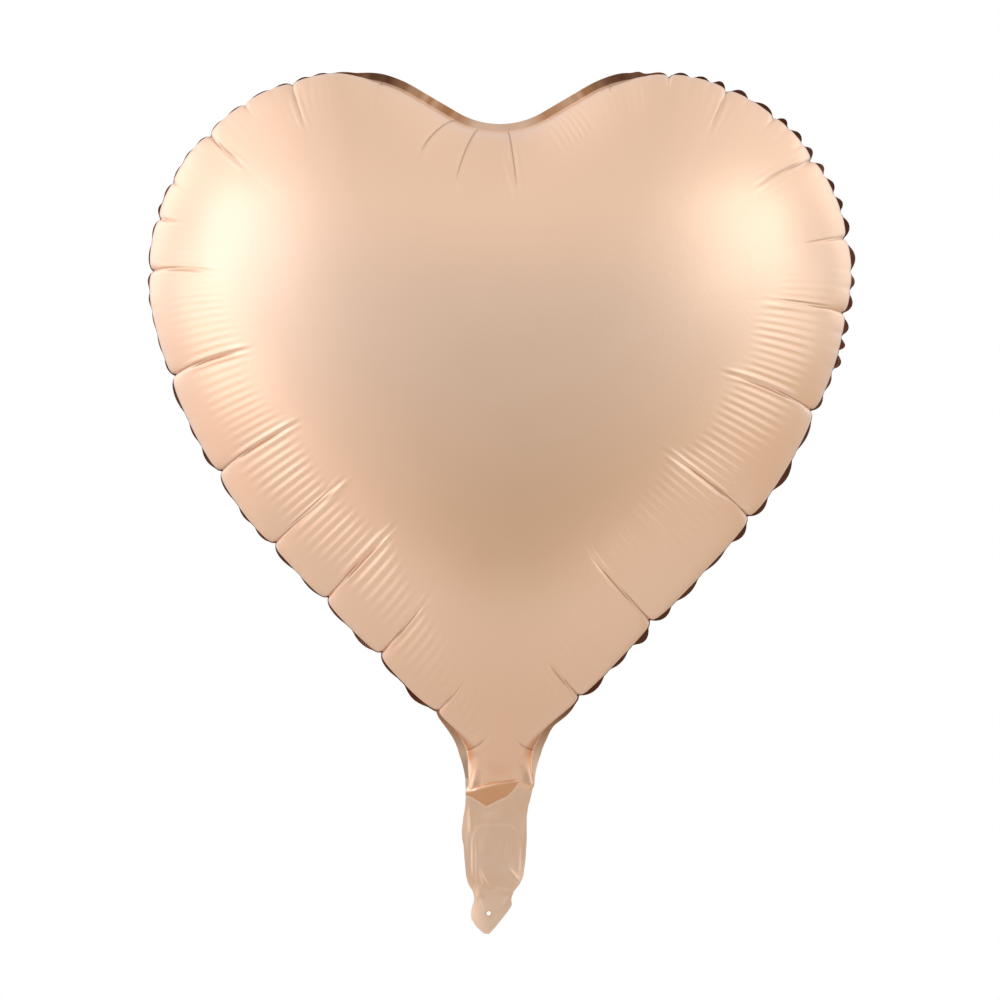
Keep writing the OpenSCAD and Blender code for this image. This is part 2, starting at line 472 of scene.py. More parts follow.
@dataclass
class Puckers:
    """How the edge of the blown-up film gathers: lobes, creases between them, and fine ripples."""

    seam: SeamLine
    bulge: float = 4.7 * MM
    notch: float = 2.3 * MM
    scallop: float = 12.5 * MM
    flank_scallop: float = 20 * MM
    flank_top: float = 240 * MM
    scallop_dip: float = 0.55 * MM
    crescent: float = 2.7 * MM
    lobe_rise: float = 0.50 * MM
    groove: float = 0.70 * MM
    groove_half: float = 0.70 * MM
    dip: float = 0.55 * MM
    dip_half: float = 1.3 * MM
    notch_half: float = 1.9 * MM
    lobe_depth: float = 30 * MM
    lap_away: float = 2.1 * MM
    lap_half: float = 1.25 * MM
    lap_rise: float = 0.34 * MM
    fan_rise: float = 0.17 * MM
    fan_half: float = 5.0 * MM
    fan_pitch: float = 3.9 * MM
    slump_reach: float = 4.5 * MM
    wander: float = 0.35 * MM
    ripple: float = 0.31 * MM
    ripple_pitch: float = 5.1 * MM
    cleft_ripple: float = 0.17 * MM
    cleft_ripple_pitch: float = 3.3 * MM
    places: np.ndarray = field(init=False)
    lobe_ends: np.ndarray = field(init=False)
    order: list = field(init=False)
    knots: np.ndarray = field(init=False)
    swells: np.ndarray = field(init=False)

    def __post_init__(self) -> None:
        """Put every crease on the seam, in order round it, and draw the scallops between them."""
        placed = sorted(((self.seam.nearest(c.x, c.z), c) for c in CREASES), key=lambda pair: pair[0])
        self.places = np.array([place for place, _ in placed])
        self.order = [c for _, c in placed]
        self.lobe_ends = np.array([place for place, c in placed if c.sharpness is not Sharpness.FAINT])
        draw = np.random.default_rng(SEED + 11)
        ends = np.append(self.places, self.places[0] + self.seam.length)
        knots = []
        for low, high in zip(ends[:-1], ends[1:]):
            spot, _ = self.seam.at(np.array([(low + high) / 2 % self.seam.length]))
            pitch = self.scallop if spot[0, 1] > self.flank_top else self.flank_scallop
            count = max(1, round((high - low) / pitch))
            steps = np.cumsum(draw.uniform(0.7, 1.3, count))
            knots += (low + (high - low) * np.concatenate([[0.0], steps[:-1]]) / steps[-1]).tolist()
        self.knots = np.sort(np.array(knots) % self.seam.length)
        self.swells = draw.uniform(0.45, 1.0, len(self.knots)) ** 1.5

    def folds(self) -> list:
        """Every crease and cleft tuck with its place along the seam."""
        tucks = [(self.seam.nearest(c.x, c.z), c) for c in CLEFT_TUCKS]
        return list(zip(self.places, self.order)) + tucks

    def gap(self, along: np.ndarray, place: float) -> np.ndarray:
        """The signed distance along the seam from a place, the shorter way round."""
        half = self.seam.length / 2
        return (along - place + half) % self.seam.length - half

    def gathered(self, spots: np.ndarray) -> np.ndarray:
        """How much the edge gathers: 1 round the lobes and 0 in the cleft and down the neck.

        Args:
            spots: Points on the seam.

        Returns:
            The share at each of them.
        """
        x, z = np.abs(spots[:, 0]), spots[:, 1]
        cleft = smooth_step(x, 66 * MM, 98 * MM) + (z < CLEFT_FLOOR)
        neck = smooth_step(z, 24 * MM, 62 * MM)
        return np.clip(cleft, 0.0, 1.0) * neck

    def share_between(self, marks: np.ndarray, along: np.ndarray) -> tuple[np.ndarray, np.ndarray]:
        """Where each column stands between two of a row of marks round the seam.

        Args:
            marks: Rising distances along the seam.
            along: Each column's distance along the seam.

        Returns:
            Each column's share of the way, from 0 at one mark to 1 at the next, and the number of the
            mark it is past, which is -1 before the first.
        """
        ends = np.concatenate([[marks[-1] - self.seam.length], marks, [marks[0] + self.seam.length]])
        right = np.searchsorted(ends, along, side="right")
        low, high = ends[right - 1], ends[right]
        return (along - low) / (high - low), right - 2

    def share_across(self, along: np.ndarray) -> np.ndarray:
        """Where each column stands across its lobe, from -1 at one crease to 1 at the next."""
        return 2.0 * self.share_between(self.lobe_ends, along)[0] - 1.0

    def crease_reach(self, along: np.ndarray) -> np.ndarray:
        """How far in the creases run at each column, read between one crease and the next."""
        reach = np.array([max(c.length, 20 * MM) for c in self.order])
        return np.interp(along, self.places, reach, period=self.seam.length)

    def columns(self, count: int) -> np.ndarray:
        """Distances along the seam for the mesh's columns, closer together at the creases.

        Args:
            count: The number of columns.

        Returns:
            Rising distances along the seam.
        """
        fine = np.linspace(0.0, self.seam.length, 12000, endpoint=False)
        spots, _ = self.seam.at(fine)
        dense = np.full(len(fine), 1.0)
        for place, fold in self.folds():
            wide = 2.6 * MM + 0.4 * abs(fold.sweep)
            away = self.gap(fine, place) + fold.sweep * 0.6
            dense += (1.6 + 1.6 * fold.sharpness.value) * bell(away, wide)
        dense *= np.where(spots[:, 1] < 26 * MM, 2.2, 1.0)
        total = np.concatenate([[0.0], np.cumsum(dense)])
        marks = (np.arange(count) + 0.5) * total[-1] / count
        return np.interp(marks, total, np.append(fine, self.seam.length))

    def edge_shift(self, along: np.ndarray, spots: np.ndarray) -> np.ndarray:
        """How far the seam and the border are drawn in or out, in the plane of the seam."""
        return self.wander * self.seam.noise(1, 17, along) * self.gathered(spots)

    def lobe_bulge(self, along: np.ndarray, spots: np.ndarray) -> np.ndarray:
        """How far the film stands out past the seam at the middle height of a lobe's wall."""
        out = self.bulge - 0.6 * MM * np.abs(self.share_across(along)) ** 4
        return out * self.gathered(spots)

    def notches(self, along: np.ndarray, spots: np.ndarray) -> np.ndarray:
        """How far the wall is drawn back in at the creases and between the scallops.

        Args:
            along: Each column's distance along the seam.
            spots: Each column's point on the seam.

        Returns:
            The distance at each column.
        """
        back = np.zeros(len(along))
        for place, fold in zip(self.places, self.order):
            near = np.abs(self.gap(along, place))
            back += self.notch * (0.3 + 0.7 * fold.sharpness.value) * np.exp(-near / self.notch_half)
        dip = self.scallop_dip * (0.35 + 0.65 * smooth_step(spots[:, 1], 250 * MM, 310 * MM))
        dip = dip * np.where((spots[:, 0] < 0.0) & (spots[:, 1] > 240 * MM), 0.5, 1.0)
        for knot in self.knots:
            back += dip * bell(self.gap(along, knot), self.dip_half)
        return np.minimum(back, self.bulge) * self.gathered(spots)

    def crescents(self, along: np.ndarray, spots: np.ndarray) -> np.ndarray:
        """How far the border shows past the film: a crescent on every scallop.

        Args:
            along: Each column's distance along the seam.
            spots: Each column's point on the seam.

        Returns:
            The distance at each column, a little below 0 between two scallops.
        """
        share, knot = self.share_between(self.knots, along)
        size = self.swells[knot]
        bow = np.sin(math.pi * np.clip((share - 0.06) / 0.74, 0.0, 1.0)) ** 0.9
        x, z = spots[:, 0], spots[:, 1]
        shown = 0.38 + 0.62 * smooth_step(x, -0.12, 0.04) + 0.25 * smooth_step(z, 0.30, 0.20)
        bold = 0.6 * smooth_step(x, 0.09, 0.14) * smooth_step(z, 0.22, 0.28)
        return self.crescent * (size + (1.0 - size) * bold) * bow * shown - 0.25 * MM

    def relief(self, along: np.ndarray, spots: np.ndarray, depth: np.ndarray, spread: np.ndarray,
               side: Side) -> tuple[np.ndarray, np.ndarray]:
        """The height of the puckers over the smooth film.

        Args:
            along: Each column's distance along the seam.
            spots: Each column's point on the seam.
            depth: How far in from the seam each mesh point is, as rows by columns.
            spread: How far apart the columns are there, as a share of their spacing at the seam.
            side: The sheet.

        Returns:
            The height at each mesh point, outwards, and the painted shade of the creases there, from 0 to 1.
        """
        gathered = self.gathered(spots)[None, :]
        across = self.share_across(along)[None, :]
        calm = (0.12 + 0.88 * smooth_step(spots[:, 1], 290 * MM, 220 * MM))[None, :]
        height = self.lobe_rise * (1.0 - across ** 2) ** 2 * gathered * calm
        height = height * bell(depth, self.lobe_depth) * smooth_step(depth, 0.0, 8 * MM)
        shade = np.zeros_like(depth)
        front = side is Side.FRONT
        vary = np.random.default_rng(SEED + (3 if front else 7))
        for place, fold in self.folds():
            reach, turn = (1.0, fold.lap) if front else (vary.uniform(0.75, 1.2), -fold.lap)
            off = self.gap(along, place)[None, :] * spread
            rise, dark = self._fold(off, depth, fold, reach * fold.length, turn, vary.uniform(0.7, 1.5))
            height = height + rise
            shade = np.maximum(shade, dark)
        return height + self._ripples(along, spots, depth, side), shade

    def _fold(self, off: np.ndarray, depth: np.ndarray, fold: Crease, length: float, turn: float,
              jog: float) -> tuple[np.ndarray, np.ndarray]:
        """The relief and the painted shade of one crease: two thin grooves that lap, with a raised pleat
        beside them.

        Args:
            off: How far each mesh point is from the crease, along the seam.
            depth: How far in from the seam each mesh point is.
            fold: The crease.
            length: How far in it runs on this sheet.
            turn: Which way it laps, as a sign.
            jog: How far its inner groove stands beside the outer one, in millimetres.

        Returns:
            The height at each mesh point, outwards, and the painted shade along its grooves, from 0 to 1.
        """
        hard = fold.sharpness.value
        share = depth / length
        in_fold = np.clip(share, 0.0, 1.0)
        off = off + fold.sweep * np.sin(in_fold * 1.5) + 0.8 * MM * turn * np.sin(share * 2.6)
        outer = smooth_step(share, 1.0, 0.7) if fold.single else smooth_step(share, 0.62, 0.40)
        inner = smooth_step(share, 0.22, 0.44) * smooth_step(share, 1.04, 0.72) * (not fold.single)
        beside = off - turn * jog * MM
        mouth = self.groove_half + 1.1 * MM * np.exp(-depth / (3.0 * MM))
        bold, thin = (0.35, 0.44 * MM) if fold.single else (1.0, 0.30 * MM)
        height = np.zeros_like(off)
        shade = np.zeros_like(off)
        for way, amount, half in ((off, outer, mouth), (beside, inner, self.groove_half * 1.1)):
            cut = np.clip(1.0 - np.abs(way) / half, 0.0, 1.0)
            height = height - bold * self.groove * (0.25 + 0.75 * hard) * amount * cut ** 1.2
            # Painted shade: a thin dark line along each groove, fading towards its inner end.
            line = amount * bell(way, thin)
            shade = np.maximum(shade, (0.18 + 0.44 * hard) * line * (1.0 - 0.30 * in_fold))
        slump = np.exp(-np.sqrt(off ** 2 + (0.5 * MM) ** 2) / self.slump_reach)
        slump = slump * smooth_step(share, 1.0, 0.5)
        height = height - bold * self.dip * hard ** 1.5 * slump
        pleat = window(share, 0.42, 0.98, 0.28)
        upper = off + turn * self.lap_away
        height = height + bold * self.lap_rise * hard ** 1.5 * pleat * bell(upper, self.lap_half)
        fan = bell(off, self.fan_half) * np.cos((off / self.fan_pitch) * 2 * math.pi + 1.9 * turn)
        return height + bold * self.fan_rise * hard * pleat * fan, shade

    def _ripples(self, along: np.ndarray, spots: np.ndarray, depth: np.ndarray, side: Side) -> np.ndarray:
        """Fine ripples, square to the seam, that fade before the crown and before the edge.

        Args:
            along: Each column's distance along the seam.
            spots: Each column's point on the seam.
            depth: How far in from the seam each mesh point is.
            side: The sheet.

        Returns:
            The height at each mesh point, outwards.
        """
        first = 40 if side is Side.BACK else 20
        sway, strong, patch, start, stop = (
            self.seam.noise(first + i, spacing, along) for i, spacing in enumerate((26, 9, 60, 22, 30)))
        x, z = spots[:, 0], spots[:, 1]
        low = np.where(x < 0.0, smooth_step(z, 14 * MM, 42 * MM), smooth_step(z, 34 * MM, 70 * MM))
        more = 1.0 + np.where(x < 0.0, 0.95, 0.35) * smooth_step(z, 200 * MM, 140 * MM)
        flank = smooth_step(z, 318 * MM, 262 * MM) * low * more
        top = 0.22 * smooth_step(np.abs(x), 30 * MM, 60 * MM) * (z > CLEFT_FLOOR)
        strength = np.maximum(flank, top) * (0.70 + 0.30 * strong) * (0.80 + 0.20 * patch)
        reach = self.crease_reach(along)
        start = (0.36 * reach + 3 * MM * start)[None, :]
        stop = (0.98 * reach + 4 * MM * stop)[None, :]
        band = smooth_step(depth, start - 7 * MM, start + 5 * MM)
        band = band * smooth_step(depth, stop + 7 * MM, stop - 8 * MM)
        wave = np.sin(along / self.ripple_pitch * 2 * math.pi + sway * 1.6)
        return self.ripple * strength * wave * band + self._cleft_ripples(along, spots, depth)

    def _cleft_ripples(self, along: np.ndarray, spots: np.ndarray, depth: np.ndarray) -> np.ndarray:
        """The few soft ripples that hang from the cleft.

        Args:
            along: Each column's distance along the seam.
            spots: Each column's point on the seam.
            depth: How far in from the seam each mesh point is.

        Returns:
            The height at each mesh point, outwards.
        """
        x = spots[:, 0][None, :]
        above = (spots[:, 1] > CLEFT_FLOOR)[None, :]
        middle = window(x, -9 * MM, 3 * MM, 4 * MM) * window(depth, 19 * MM, 31 * MM, 8 * MM)
        right = window(x, 27 * MM, 41 * MM, 4 * MM) * window(depth, 7 * MM, 18 * MM, 8 * MM)
        lean = along[None, :] + 0.16 * depth
        fine = np.sin(lean / self.cleft_ripple_pitch * 2 * math.pi)
        return self.cleft_ripple * above * (0.7 * middle + 1.2 * right) * fine


# ---------------------------------------------------------------- mesh building


def make_piece(name: str, points: np.ndarray, faces: list) -> bpy.types.Object:
    """Make a smooth-shaded mesh object at the origin.

    Args:
        name: The piece's name.
        points: Its points, in the row frame.
        faces: Its faces as runs of point numbers.

    Returns:
        The new object.
    """
    mesh = bpy.data.meshes.new(name)
    mesh.from_pydata(points.tolist(), [], faces)
    mesh.validate()
    mesh.shade_smooth()
    piece = bpy.data.objects.new(name, mesh)
    bpy.context.scene.collection.objects.link(piece)
    return piece


def quads_over(rows: int, columns: int) -> np.ndarray:
    """The corners of every cell in a grid of points that is numbered row by row.

    Args:
        rows: Rows of points.
        columns: Columns of points.

    Returns:
        Four point numbers for each cell.
    """
    number = np.arange(rows * columns).reshape(rows, columns)
    corners = number[:-1, :-1], number[:-1, 1:], number[1:, 1:], number[1:, :-1]
    return np.stack(corners, axis=2).reshape(-1, 4)


def select_only(piece: bpy.types.Object) -> None:
    """Make a piece the only one selected, and the active one.

    Args:
        piece: The piece.
    """
    bpy.ops.object.select_all(action="DESELECT")
    piece.select_set(True)
    bpy.context.view_layer.objects.active = piece


def thicken(piece: bpy.types.Object, thickness: float) -> None:
    """Give a strip a thickness, half on either side of it, and turn its faces outwards.

    Args:
        piece: The strip.
        thickness: Its whole thickness.
    """
    select_only(piece)
    bpy.ops.object.modifier_add(type="SOLIDIFY")
    piece.modifiers[-1].thickness = thickness
    piece.modifiers[-1].offset = 0.0
    bpy.ops.object.modifier_apply(modifier=piece.modifiers[-1].name)
    bpy.ops.object.mode_set(mode="EDIT")
    bpy.ops.mesh.select_all(action="SELECT")
    bpy.ops.mesh.normals_make_consistent(inside=False)
    bpy.ops.object.mode_set(mode="OBJECT")


def add_mask(piece: bpy.types.Object, name: str, values: np.ndarray) -> None:
    """Store a value from 0 to 1 at every point of a piece."""
    layer = piece.data.attributes.new(name, "FLOAT", "POINT")
    layer.data.foreach_set("value", values.astype(np.float32))


def dress(piece: bpy.types.Object, material: bpy.types.Material) -> None:
    """Give a piece its only material.

    Args:
        piece: The piece.
        material: Its finish.
    """
    piece.data.materials.clear()
    piece.data.materials.append(material)


@dataclass
class RingMesh:
    """A closed run of rings whose number of columns halves on the way in to a pole."""

    points: list = field(default_factory=list)
    rings: list = field(default_factory=list)
    faces: list = field(default_factory=list)
    masks: list = field(default_factory=list)

    def add_ring(self, row: np.ndarray, mask: np.ndarray, thin: int) -> None:
        """Add one ring and join it to the last.

        Args:
            row: The ring's points, one for every column.
            mask: The values kept at each of them.
            thin: The ring keeps every thin-th column.
        """
        start = sum(len(p) for p in self.points)
        kept = row[::thin]
        self.points.append(kept)
        self.masks.append(mask[::thin])
        ring = np.arange(len(kept)) + start
        if self.rings:
            last = self.rings[-1]
            if len(last) == len(ring):
                self.faces += np.stack([last, np.roll(last, -1), np.roll(ring, -1), ring], axis=1).tolist()
            else:
                even, odd = last[::2], last[1::2]
                after, onward = np.roll(even, -1), np.roll(ring, -1)
                for corners in ([even, odd, ring], [odd, onward, ring], [odd, after, onward]):
                    self.faces += np.stack(corners, axis=1).tolist()
        self.rings.append(ring)

    def close(self, pole: np.ndarray) -> None:
        """Close the last ring over a pole.

        Args:
            pole: The pole's point.
        """
        start = sum(len(p) for p in self.points)
        self.points.append(pole[None, :])
        self.masks.append(np.zeros((1, 2)))
        ring = self.rings[-1]
        self.faces += [[int(a), int(b), start] for a, b in zip(ring, np.roll(ring, -1))]


# ---------------------------------------------------------------- shader


class Wire:
    """A shader socket that arithmetic on it adds Math nodes to."""

    def __init__(self, maker: "Shader", socket: bpy.types.NodeSocket) -> None:
        """Keep the socket and the material that its sums are added to."""
        self.maker = maker
        self.socket = socket

    def _sum(self, kind: str, first: "Wire | float", second: "Wire | float") -> "Wire":
        """Add one Math node."""
        return self.maker.node("ShaderNodeMath", {"operation": kind}, {0: first, 1: second})

    def __add__(self, other: "Wire | float") -> "Wire":
        """Add."""
        return self._sum("ADD", self, other)

    def __radd__(self, other: float) -> "Wire":
        """Add, from the right."""
        return self._sum("ADD", other, self)

    def __sub__(self, other: "Wire | float") -> "Wire":
        """Take away."""
        return self._sum("SUBTRACT", self, other)

    def __rsub__(self, other: float) -> "Wire":
        """Take away, from the right."""
        return self._sum("SUBTRACT", other, self)

    def __mul__(self, other: "Wire | float") -> "Wire":
        """Multiply."""
        return self._sum("MULTIPLY", self, other)

    def __rmul__(self, other: float) -> "Wire":
        """Multiply, from the right."""
        return self._sum("MULTIPLY", other, self)


class Shader:
    """A material under construction."""

    def __init__(self, name: str) -> None:
        """Start an empty material with an output.

        Args:
            name: The material's name.
        """
        self.material = bpy.data.materials.new(name)
        self.material.use_nodes = True
        self.tree = self.material.node_tree
        self.tree.nodes.clear()
        self.output = self.tree.nodes.new("ShaderNodeOutputMaterial")

    def node(self, kind: str, settings: dict, inputs: dict, output: int | str = 0) -> Wire:
        """Add any node.

        Args:
            kind: The node's type.
            settings: Its own settings, set first; a ramp's stops are under "stops".
            inputs: Values or wires for its sockets, by name or number.
            output: The socket to hand back.

        Returns:
            The wire of that socket.
        """
        made = self.tree.nodes.new(kind)
        for key, value in settings.items():
            if key == "stops":
                self._set_stops(made.color_ramp, value)
            else:
                setattr(made, key, value)
        for key, value in inputs.items():
            self.plug(made.inputs[key], value)
        return Wire(self, made.outputs[output])

    def _set_stops(self, ramp: bpy.types.ColorRamp, stops: list) -> None:
        """Set a ramp's stops from pairs of place and colour.

        Args:
            ramp: The ramp.
            stops: Its stops, in order.
        """
        while len(ramp.elements) > 1:
            ramp.elements.remove(ramp.elements[-1])
        ramp.elements[0].position, ramp.elements[0].color = stops[0]
        for place, colour in stops[1:]:
            ramp.elements.new(place).color = colour

    def plug(self, socket: bpy.types.NodeSocket, value: "Wire | float | tuple") -> None:
        """Link a wire to a socket, or set the socket's own value.

        Args:
            socket: The socket.
            value: What goes into it.
        """
        if isinstance(value, Wire):
            self.tree.links.new(value.socket, socket)
        else:
            socket.default_value = value

    def place(self) -> Wire:
        """The Object coordinates."""
        return self.node("ShaderNodeTexCoord", {}, {}, "Object")

    def noise(self, scale: float, detail: float = 3.0, roughness: float = 0.5) -> Wire:
        """Noise on the Object coordinates, with features 1 / scale metres across."""
        return self.node("ShaderNodeTexNoise", {}, {"Vector": self.place(), "Scale": scale,
                                                    "Detail": detail, "Roughness": roughness}, "Fac")

    def mask(self, name: str) -> Wire:
        """A value stored at the piece's points."""
        return self.node("ShaderNodeAttribute", {"attribute_name": name}, {}, "Fac")

    def blend(self, share: "Wire | float", first: "Wire | tuple", second: "Wire | tuple") -> Wire:
        """Mix two colours."""
        return self.node("ShaderNodeMix", {"data_type": "RGBA"}, {0: share, 6: first, 7: second}, 2)

    def bump(self, strength: float, distance: float, height: Wire) -> Wire:
        """A faint relief in the surface's shading."""
        return self.node("ShaderNodeBump", {}, {"Strength": strength, "Distance": distance,
                                                "Height": height})

    def finish(self, **sockets: "Wire | float | tuple") -> bpy.types.Material:
        """Add the surface shader with these sockets and return the material.

        Args:
            sockets: What goes into each socket, with _ for a space in its name.

        Returns:
            The finished material.
        """
        surface = self.node("ShaderNodeBsdfPrincipled", {},
                            {key.replace("_", " "): value for key, value in sockets.items()})
        self.tree.links.new(surface.socket, self.output.inputs["Surface"])
        return self.material


@dataclass(frozen=True)
class SatinFoil:
    """Metallised film under a satin rose-gold lacquer, with painted shade blended in by point masks."""

    name: str = "satin_foil"
    colour: tuple = (0.93, 0.617, 0.412, 1.0)
    deep: tuple = (0.91, 0.597, 0.393, 1.0)
    # Painted shade colours: dark brown for creases and the border, warm orange for bounced light.
    painted_shade_tone: tuple = (0.10, 0.035, 0.02, 1.0)
    painted_warm_shade_tone: tuple = (0.62, 0.27, 0.10, 1.0)
    roughness: float = 0.35

    def material(self) -> bpy.types.Material:
        """Build the finish.

        Returns:
            The material.
        """
        shader = Shader(self.name)
        cloud = shader.noise(9.0, 3.0, 0.5)
        tint = shader.blend(cloud, self.colour, self.deep)
        # Painted shade: point masks blend the tint towards the warm and the dark painted shade.
        tint = shader.blend(shader.mask("warm"), tint, self.painted_warm_shade_tone)
        tint = shader.blend(shader.mask("fold"), tint, self.painted_shade_tone)
        grain = shader.noise(900.0, 2.0, 0.6)
        rough = self.roughness - 0.03 + 0.06 * shader.noise(28.0, 4.0, 0.55) + 0.02 * grain
        relief = shader.bump(0.12, 0.0004, shader.noise(420.0, 3.0, 0.6))
        return shader.finish(Base_Color=tint, Metallic=1.0, Roughness=rough, Normal=relief)


@dataclass(frozen=True)
class FusedFoil:
    """The heat-sealed border, which the sealing bar leaves flatter and a little duller; its dark colour
    is painted shade for the crease where the two sheets meet.
    """

    name: str = "fused_foil"
    # Painted shade: this dark brown stands in for the shade where the two sheets meet.
    colour: tuple = (0.42, 0.25, 0.17, 1.0)
    deep: tuple = (0.30, 0.16, 0.10, 1.0)

    def material(self) -> bpy.types.Material:
        """Build the finish.

        Returns:
            The material.
        """
        shader = Shader(self.name)
        tint = shader.blend(shader.noise(60.0, 3.0, 0.5), self.colour, self.deep)
        rough = 0.34 + 0.10 * shader.noise(180.0, 3.0, 0.5)
        relief = shader.bump(0.25, 0.0003, shader.noise(700.0, 2.0, 0.5))
        return shader.finish(Base_Color=tint, Metallic=1.0, Roughness=rough, Normal=relief)


@dataclass(frozen=True)
class ClearFilm:
    """Soft clear film, faintly milky."""

    name: str = "clear_film"
    colour: tuple = (0.90, 0.91, 0.92, 1.0)

    def material(self) -> bpy.types.Material:
        """Build the finish.

        Returns:
            The material.
        """
        shader = Shader(self.name)
        rough = 0.18 + 0.12 * shader.noise(90.0, 3.0, 0.5)
        veil = 0.30 + 0.15 * shader.noise(140.0, 3.0, 0.5)
        relief = shader.bump(0.3, 0.0004, shader.noise(260.0, 3.0, 0.5))
        return shader.finish(Base_Color=self.colour, Roughness=rough, Alpha=veil, Normal=relief)


@dataclass(frozen=True)
class ReleaseLayer:
    """Dull heat-resistant ink."""

    name: str = "release_layer"
    colour: tuple = (0.62, 0.66, 0.70, 1.0)
    deep: tuple = (0.52, 0.57, 0.62, 1.0)

    def material(self) -> bpy.types.Material:
        """Build the finish.

        Returns:
            The material.
        """
        shader = Shader(self.name)
        tint = shader.blend(shader.noise(300.0, 3.0, 0.6), self.colour, self.deep)
        rough = 0.55 + 0.15 * shader.noise(500.0, 2.0, 0.5)
        return shader.finish(Base_Color=tint, Roughness=rough)


# ---------------------------------------------------------------- heart


@dataclass
class Heart:
    """The two blown-up foil sheets and the fused border between them."""

    seam: SeamLine
    swell: InflationField
    puckers: Puckers
    crown_h: float
    columns: int = 1344
    band_rows: int = 56
    inner_rows: int = 26
    border_rows: int = 5
    layer: float = 0.16 * MM
    bulge_height: float = 13 * MM
    flat_cut: tuple = (0.45, 0.458)
    flat_area: float = 0.150
    neck_share: float = 0.03
    neck_painted_shade: float = 0.16
    notch_depth: float = 8 * MM
    band: float = 92 * MM
    wave_rise: float = 1.5 * MM
    slow_rise: float = 1.0 * MM
    calm_rise: float = 0.35 * MM
    strip_t: float = 0.272 * MM
    strip_lines: tuple = (0.02, 0.35, 0.68, 1.0)
    along: np.ndarray = field(init=False)
    spots: np.ndarray = field(init=False)
    outward: np.ndarray = field(init=False)
    levels: np.ndarray = field(init=False)
    plan: np.ndarray = field(init=False)
    free: np.ndarray = field(init=False)

    # Each pleat, in millimetres: x at its foot, lean, foot, tip, width, height.
    NECK_PLEATS = ((-14.4, 0.10, 5.0, 22.0, 2.8, 2.6), (-8.4, -0.14, 4.5, 18.0, 2.1, 1.9),
                   (15.9, -0.02, 7.0, 22.0, 2.4, 2.4), (11.0, 0.05, 8.0, 16.0, 1.6, 0.6))
    # Each painted shade line along a fold, in millimetres: x and z of its lower end, x and z of its
    # upper end, width; darkness.
    NECK_SHADE_LINES = ((-12.1, 4.5, -12.0, 16.0, 1.20, 0.12), (15.4, 7.6, 12.5, 17.5, 1.40, 0.16))

    def __post_init__(self) -> None:
        """Lay out the columns and follow them in from the seam to the crown."""
        self.along = self.puckers.columns(self.columns)
        self.spots, self.outward = self.seam.at(self.along)
        self.free = self.puckers.gathered(self.spots)
        self.levels = self._levels()
        self.plan = self.swell.climb(self.spots, self.levels)

    def _levels(self) -> np.ndarray:
        """Shares of the crown's field value for the rings, evenly spaced over the film near the edge.

        Returns:
            Rising shares of the crown's value, the first of them 0.
        """
        share = np.linspace(0.0, 0.985, 4000)
        radius = 150 * MM * np.sqrt(1.0 - share)
        steps = np.hypot(np.diff(radius), np.diff(self.rise(share)))
        length = np.concatenate([[0.0], np.cumsum(steps)])
        near = np.linspace(0.0, 1.0, self.band_rows) ** 1.12 * self.band
        far = np.linspace(0.0, 1.0, self.inner_rows + 1)[1:]
        far = self.band + (length[-1] - self.band) * (0.35 * far + 0.65 * far ** 1.6)
        return np.interp(np.concatenate([near, far]), length, share)

    def rise(self, share: np.ndarray) -> np.ndarray:
        """How high the film stands at a share of the crown's field value."""
        return self.crown_h * np.sqrt(share) * (1.18 - 0.18 * share)

    def ruffle(self) -> np.ndarray:
        """How far each column of the border waves out of its plane.

        Returns:
            Its y, as drawn at the outer edge.
        """
        wave, slow = self.seam.noise(5, 13, self.along), self.seam.noise(6, 31, self.along)
        gathered = (self.wave_rise * wave + self.slow_rise * slow) * self.free
        return gathered + self.calm_rise * wave * (1.0 - self.free)

    def border(self, share: float, side_shift: float) -> np.ndarray:
        """A line of the fused border.

        Args:
            share: 0 at the seam and 1 at the outer edge.
            side_shift: How far the line is moved along y.

        Returns:
            The line's points, one for every column.
        """
        shift = self.puckers.edge_shift(self.along, self.spots)
        place = self.along, self.spots
        bowed = self.puckers.lobe_bulge(*place) - self.puckers.notches(*place)
        bowed = bowed + self.puckers.crescents(*place)
        inset = self.seam.inset_at(self.spots[:, 1])
        width = 0.92 * inset * (1.0 - self.free) + bowed * self.free
        line = self.spots + self.outward * (shift + width * share)[:, None]
        y = self.ruffle() * share ** 1.3 + side_shift
        return np.stack([line[:, 0], y, line[:, 1]], axis=1)

    def neck_flattening(self, z: np.ndarray, share: np.ndarray) -> np.ndarray:
        """How much of its height the film keeps where the neck flattens into the tail.

        Args:
            z: The points' heights.
            share: The points' shares of the crown's field value.

        Returns:
            The share of its height that is kept.
        """
        neck = smooth_step(z, 46 * MM, 10 * MM)
        soft_side = (np.minimum(share, self.neck_share) / self.neck_share) ** (0.8 * neck)
        return (0.45 + 0.55 * smooth_step(z, -2 * MM, 36 * MM)) * soft_side

    def neck_pleats(self, x: np.ndarray, z: np.ndarray) -> np.ndarray:
        """The height of the upright pleats low on the neck, which taper to a point as they rise.

        Args:
            x: The points' places across.
            z: The points' heights.

        Returns:
            The height at each point, outwards.
        """
        height = np.zeros_like(x)
        for foot_x, lean, low, high, width, rise in self.NECK_PLEATS:
            up = z / MM - low
            share = np.clip(1.0 - up / (high - low), 0.0, 1.0)
            off = (x / MM - foot_x - lean * up) / (width * (0.3 + 0.7 * share))
            height = height + rise * share * np.exp(-off ** 2) * smooth_step(up, -5.0, 0.0)
        return height * MM

    def neck_shade(self, x: np.ndarray, z: np.ndarray) -> np.ndarray:
        """How much painted shade lies along the thin folds beside the neck's pleats.

        Args:
            x: The points' places across.
            z: The points' heights.

        Returns:
            The painted shade at each point, from 0 to 1.
        """
        dark = np.zeros_like(x)
        for low_x, low_z, high_x, high_z, width, depth in self.NECK_SHADE_LINES:
            up = (z / MM - low_z) / (high_z - low_z)
            off = x / MM - low_x - (high_x - low_x) * up
            dark = np.maximum(dark, depth * bell(off, width) * window(up, 0.0, 0.9, 0.22))
        return dark

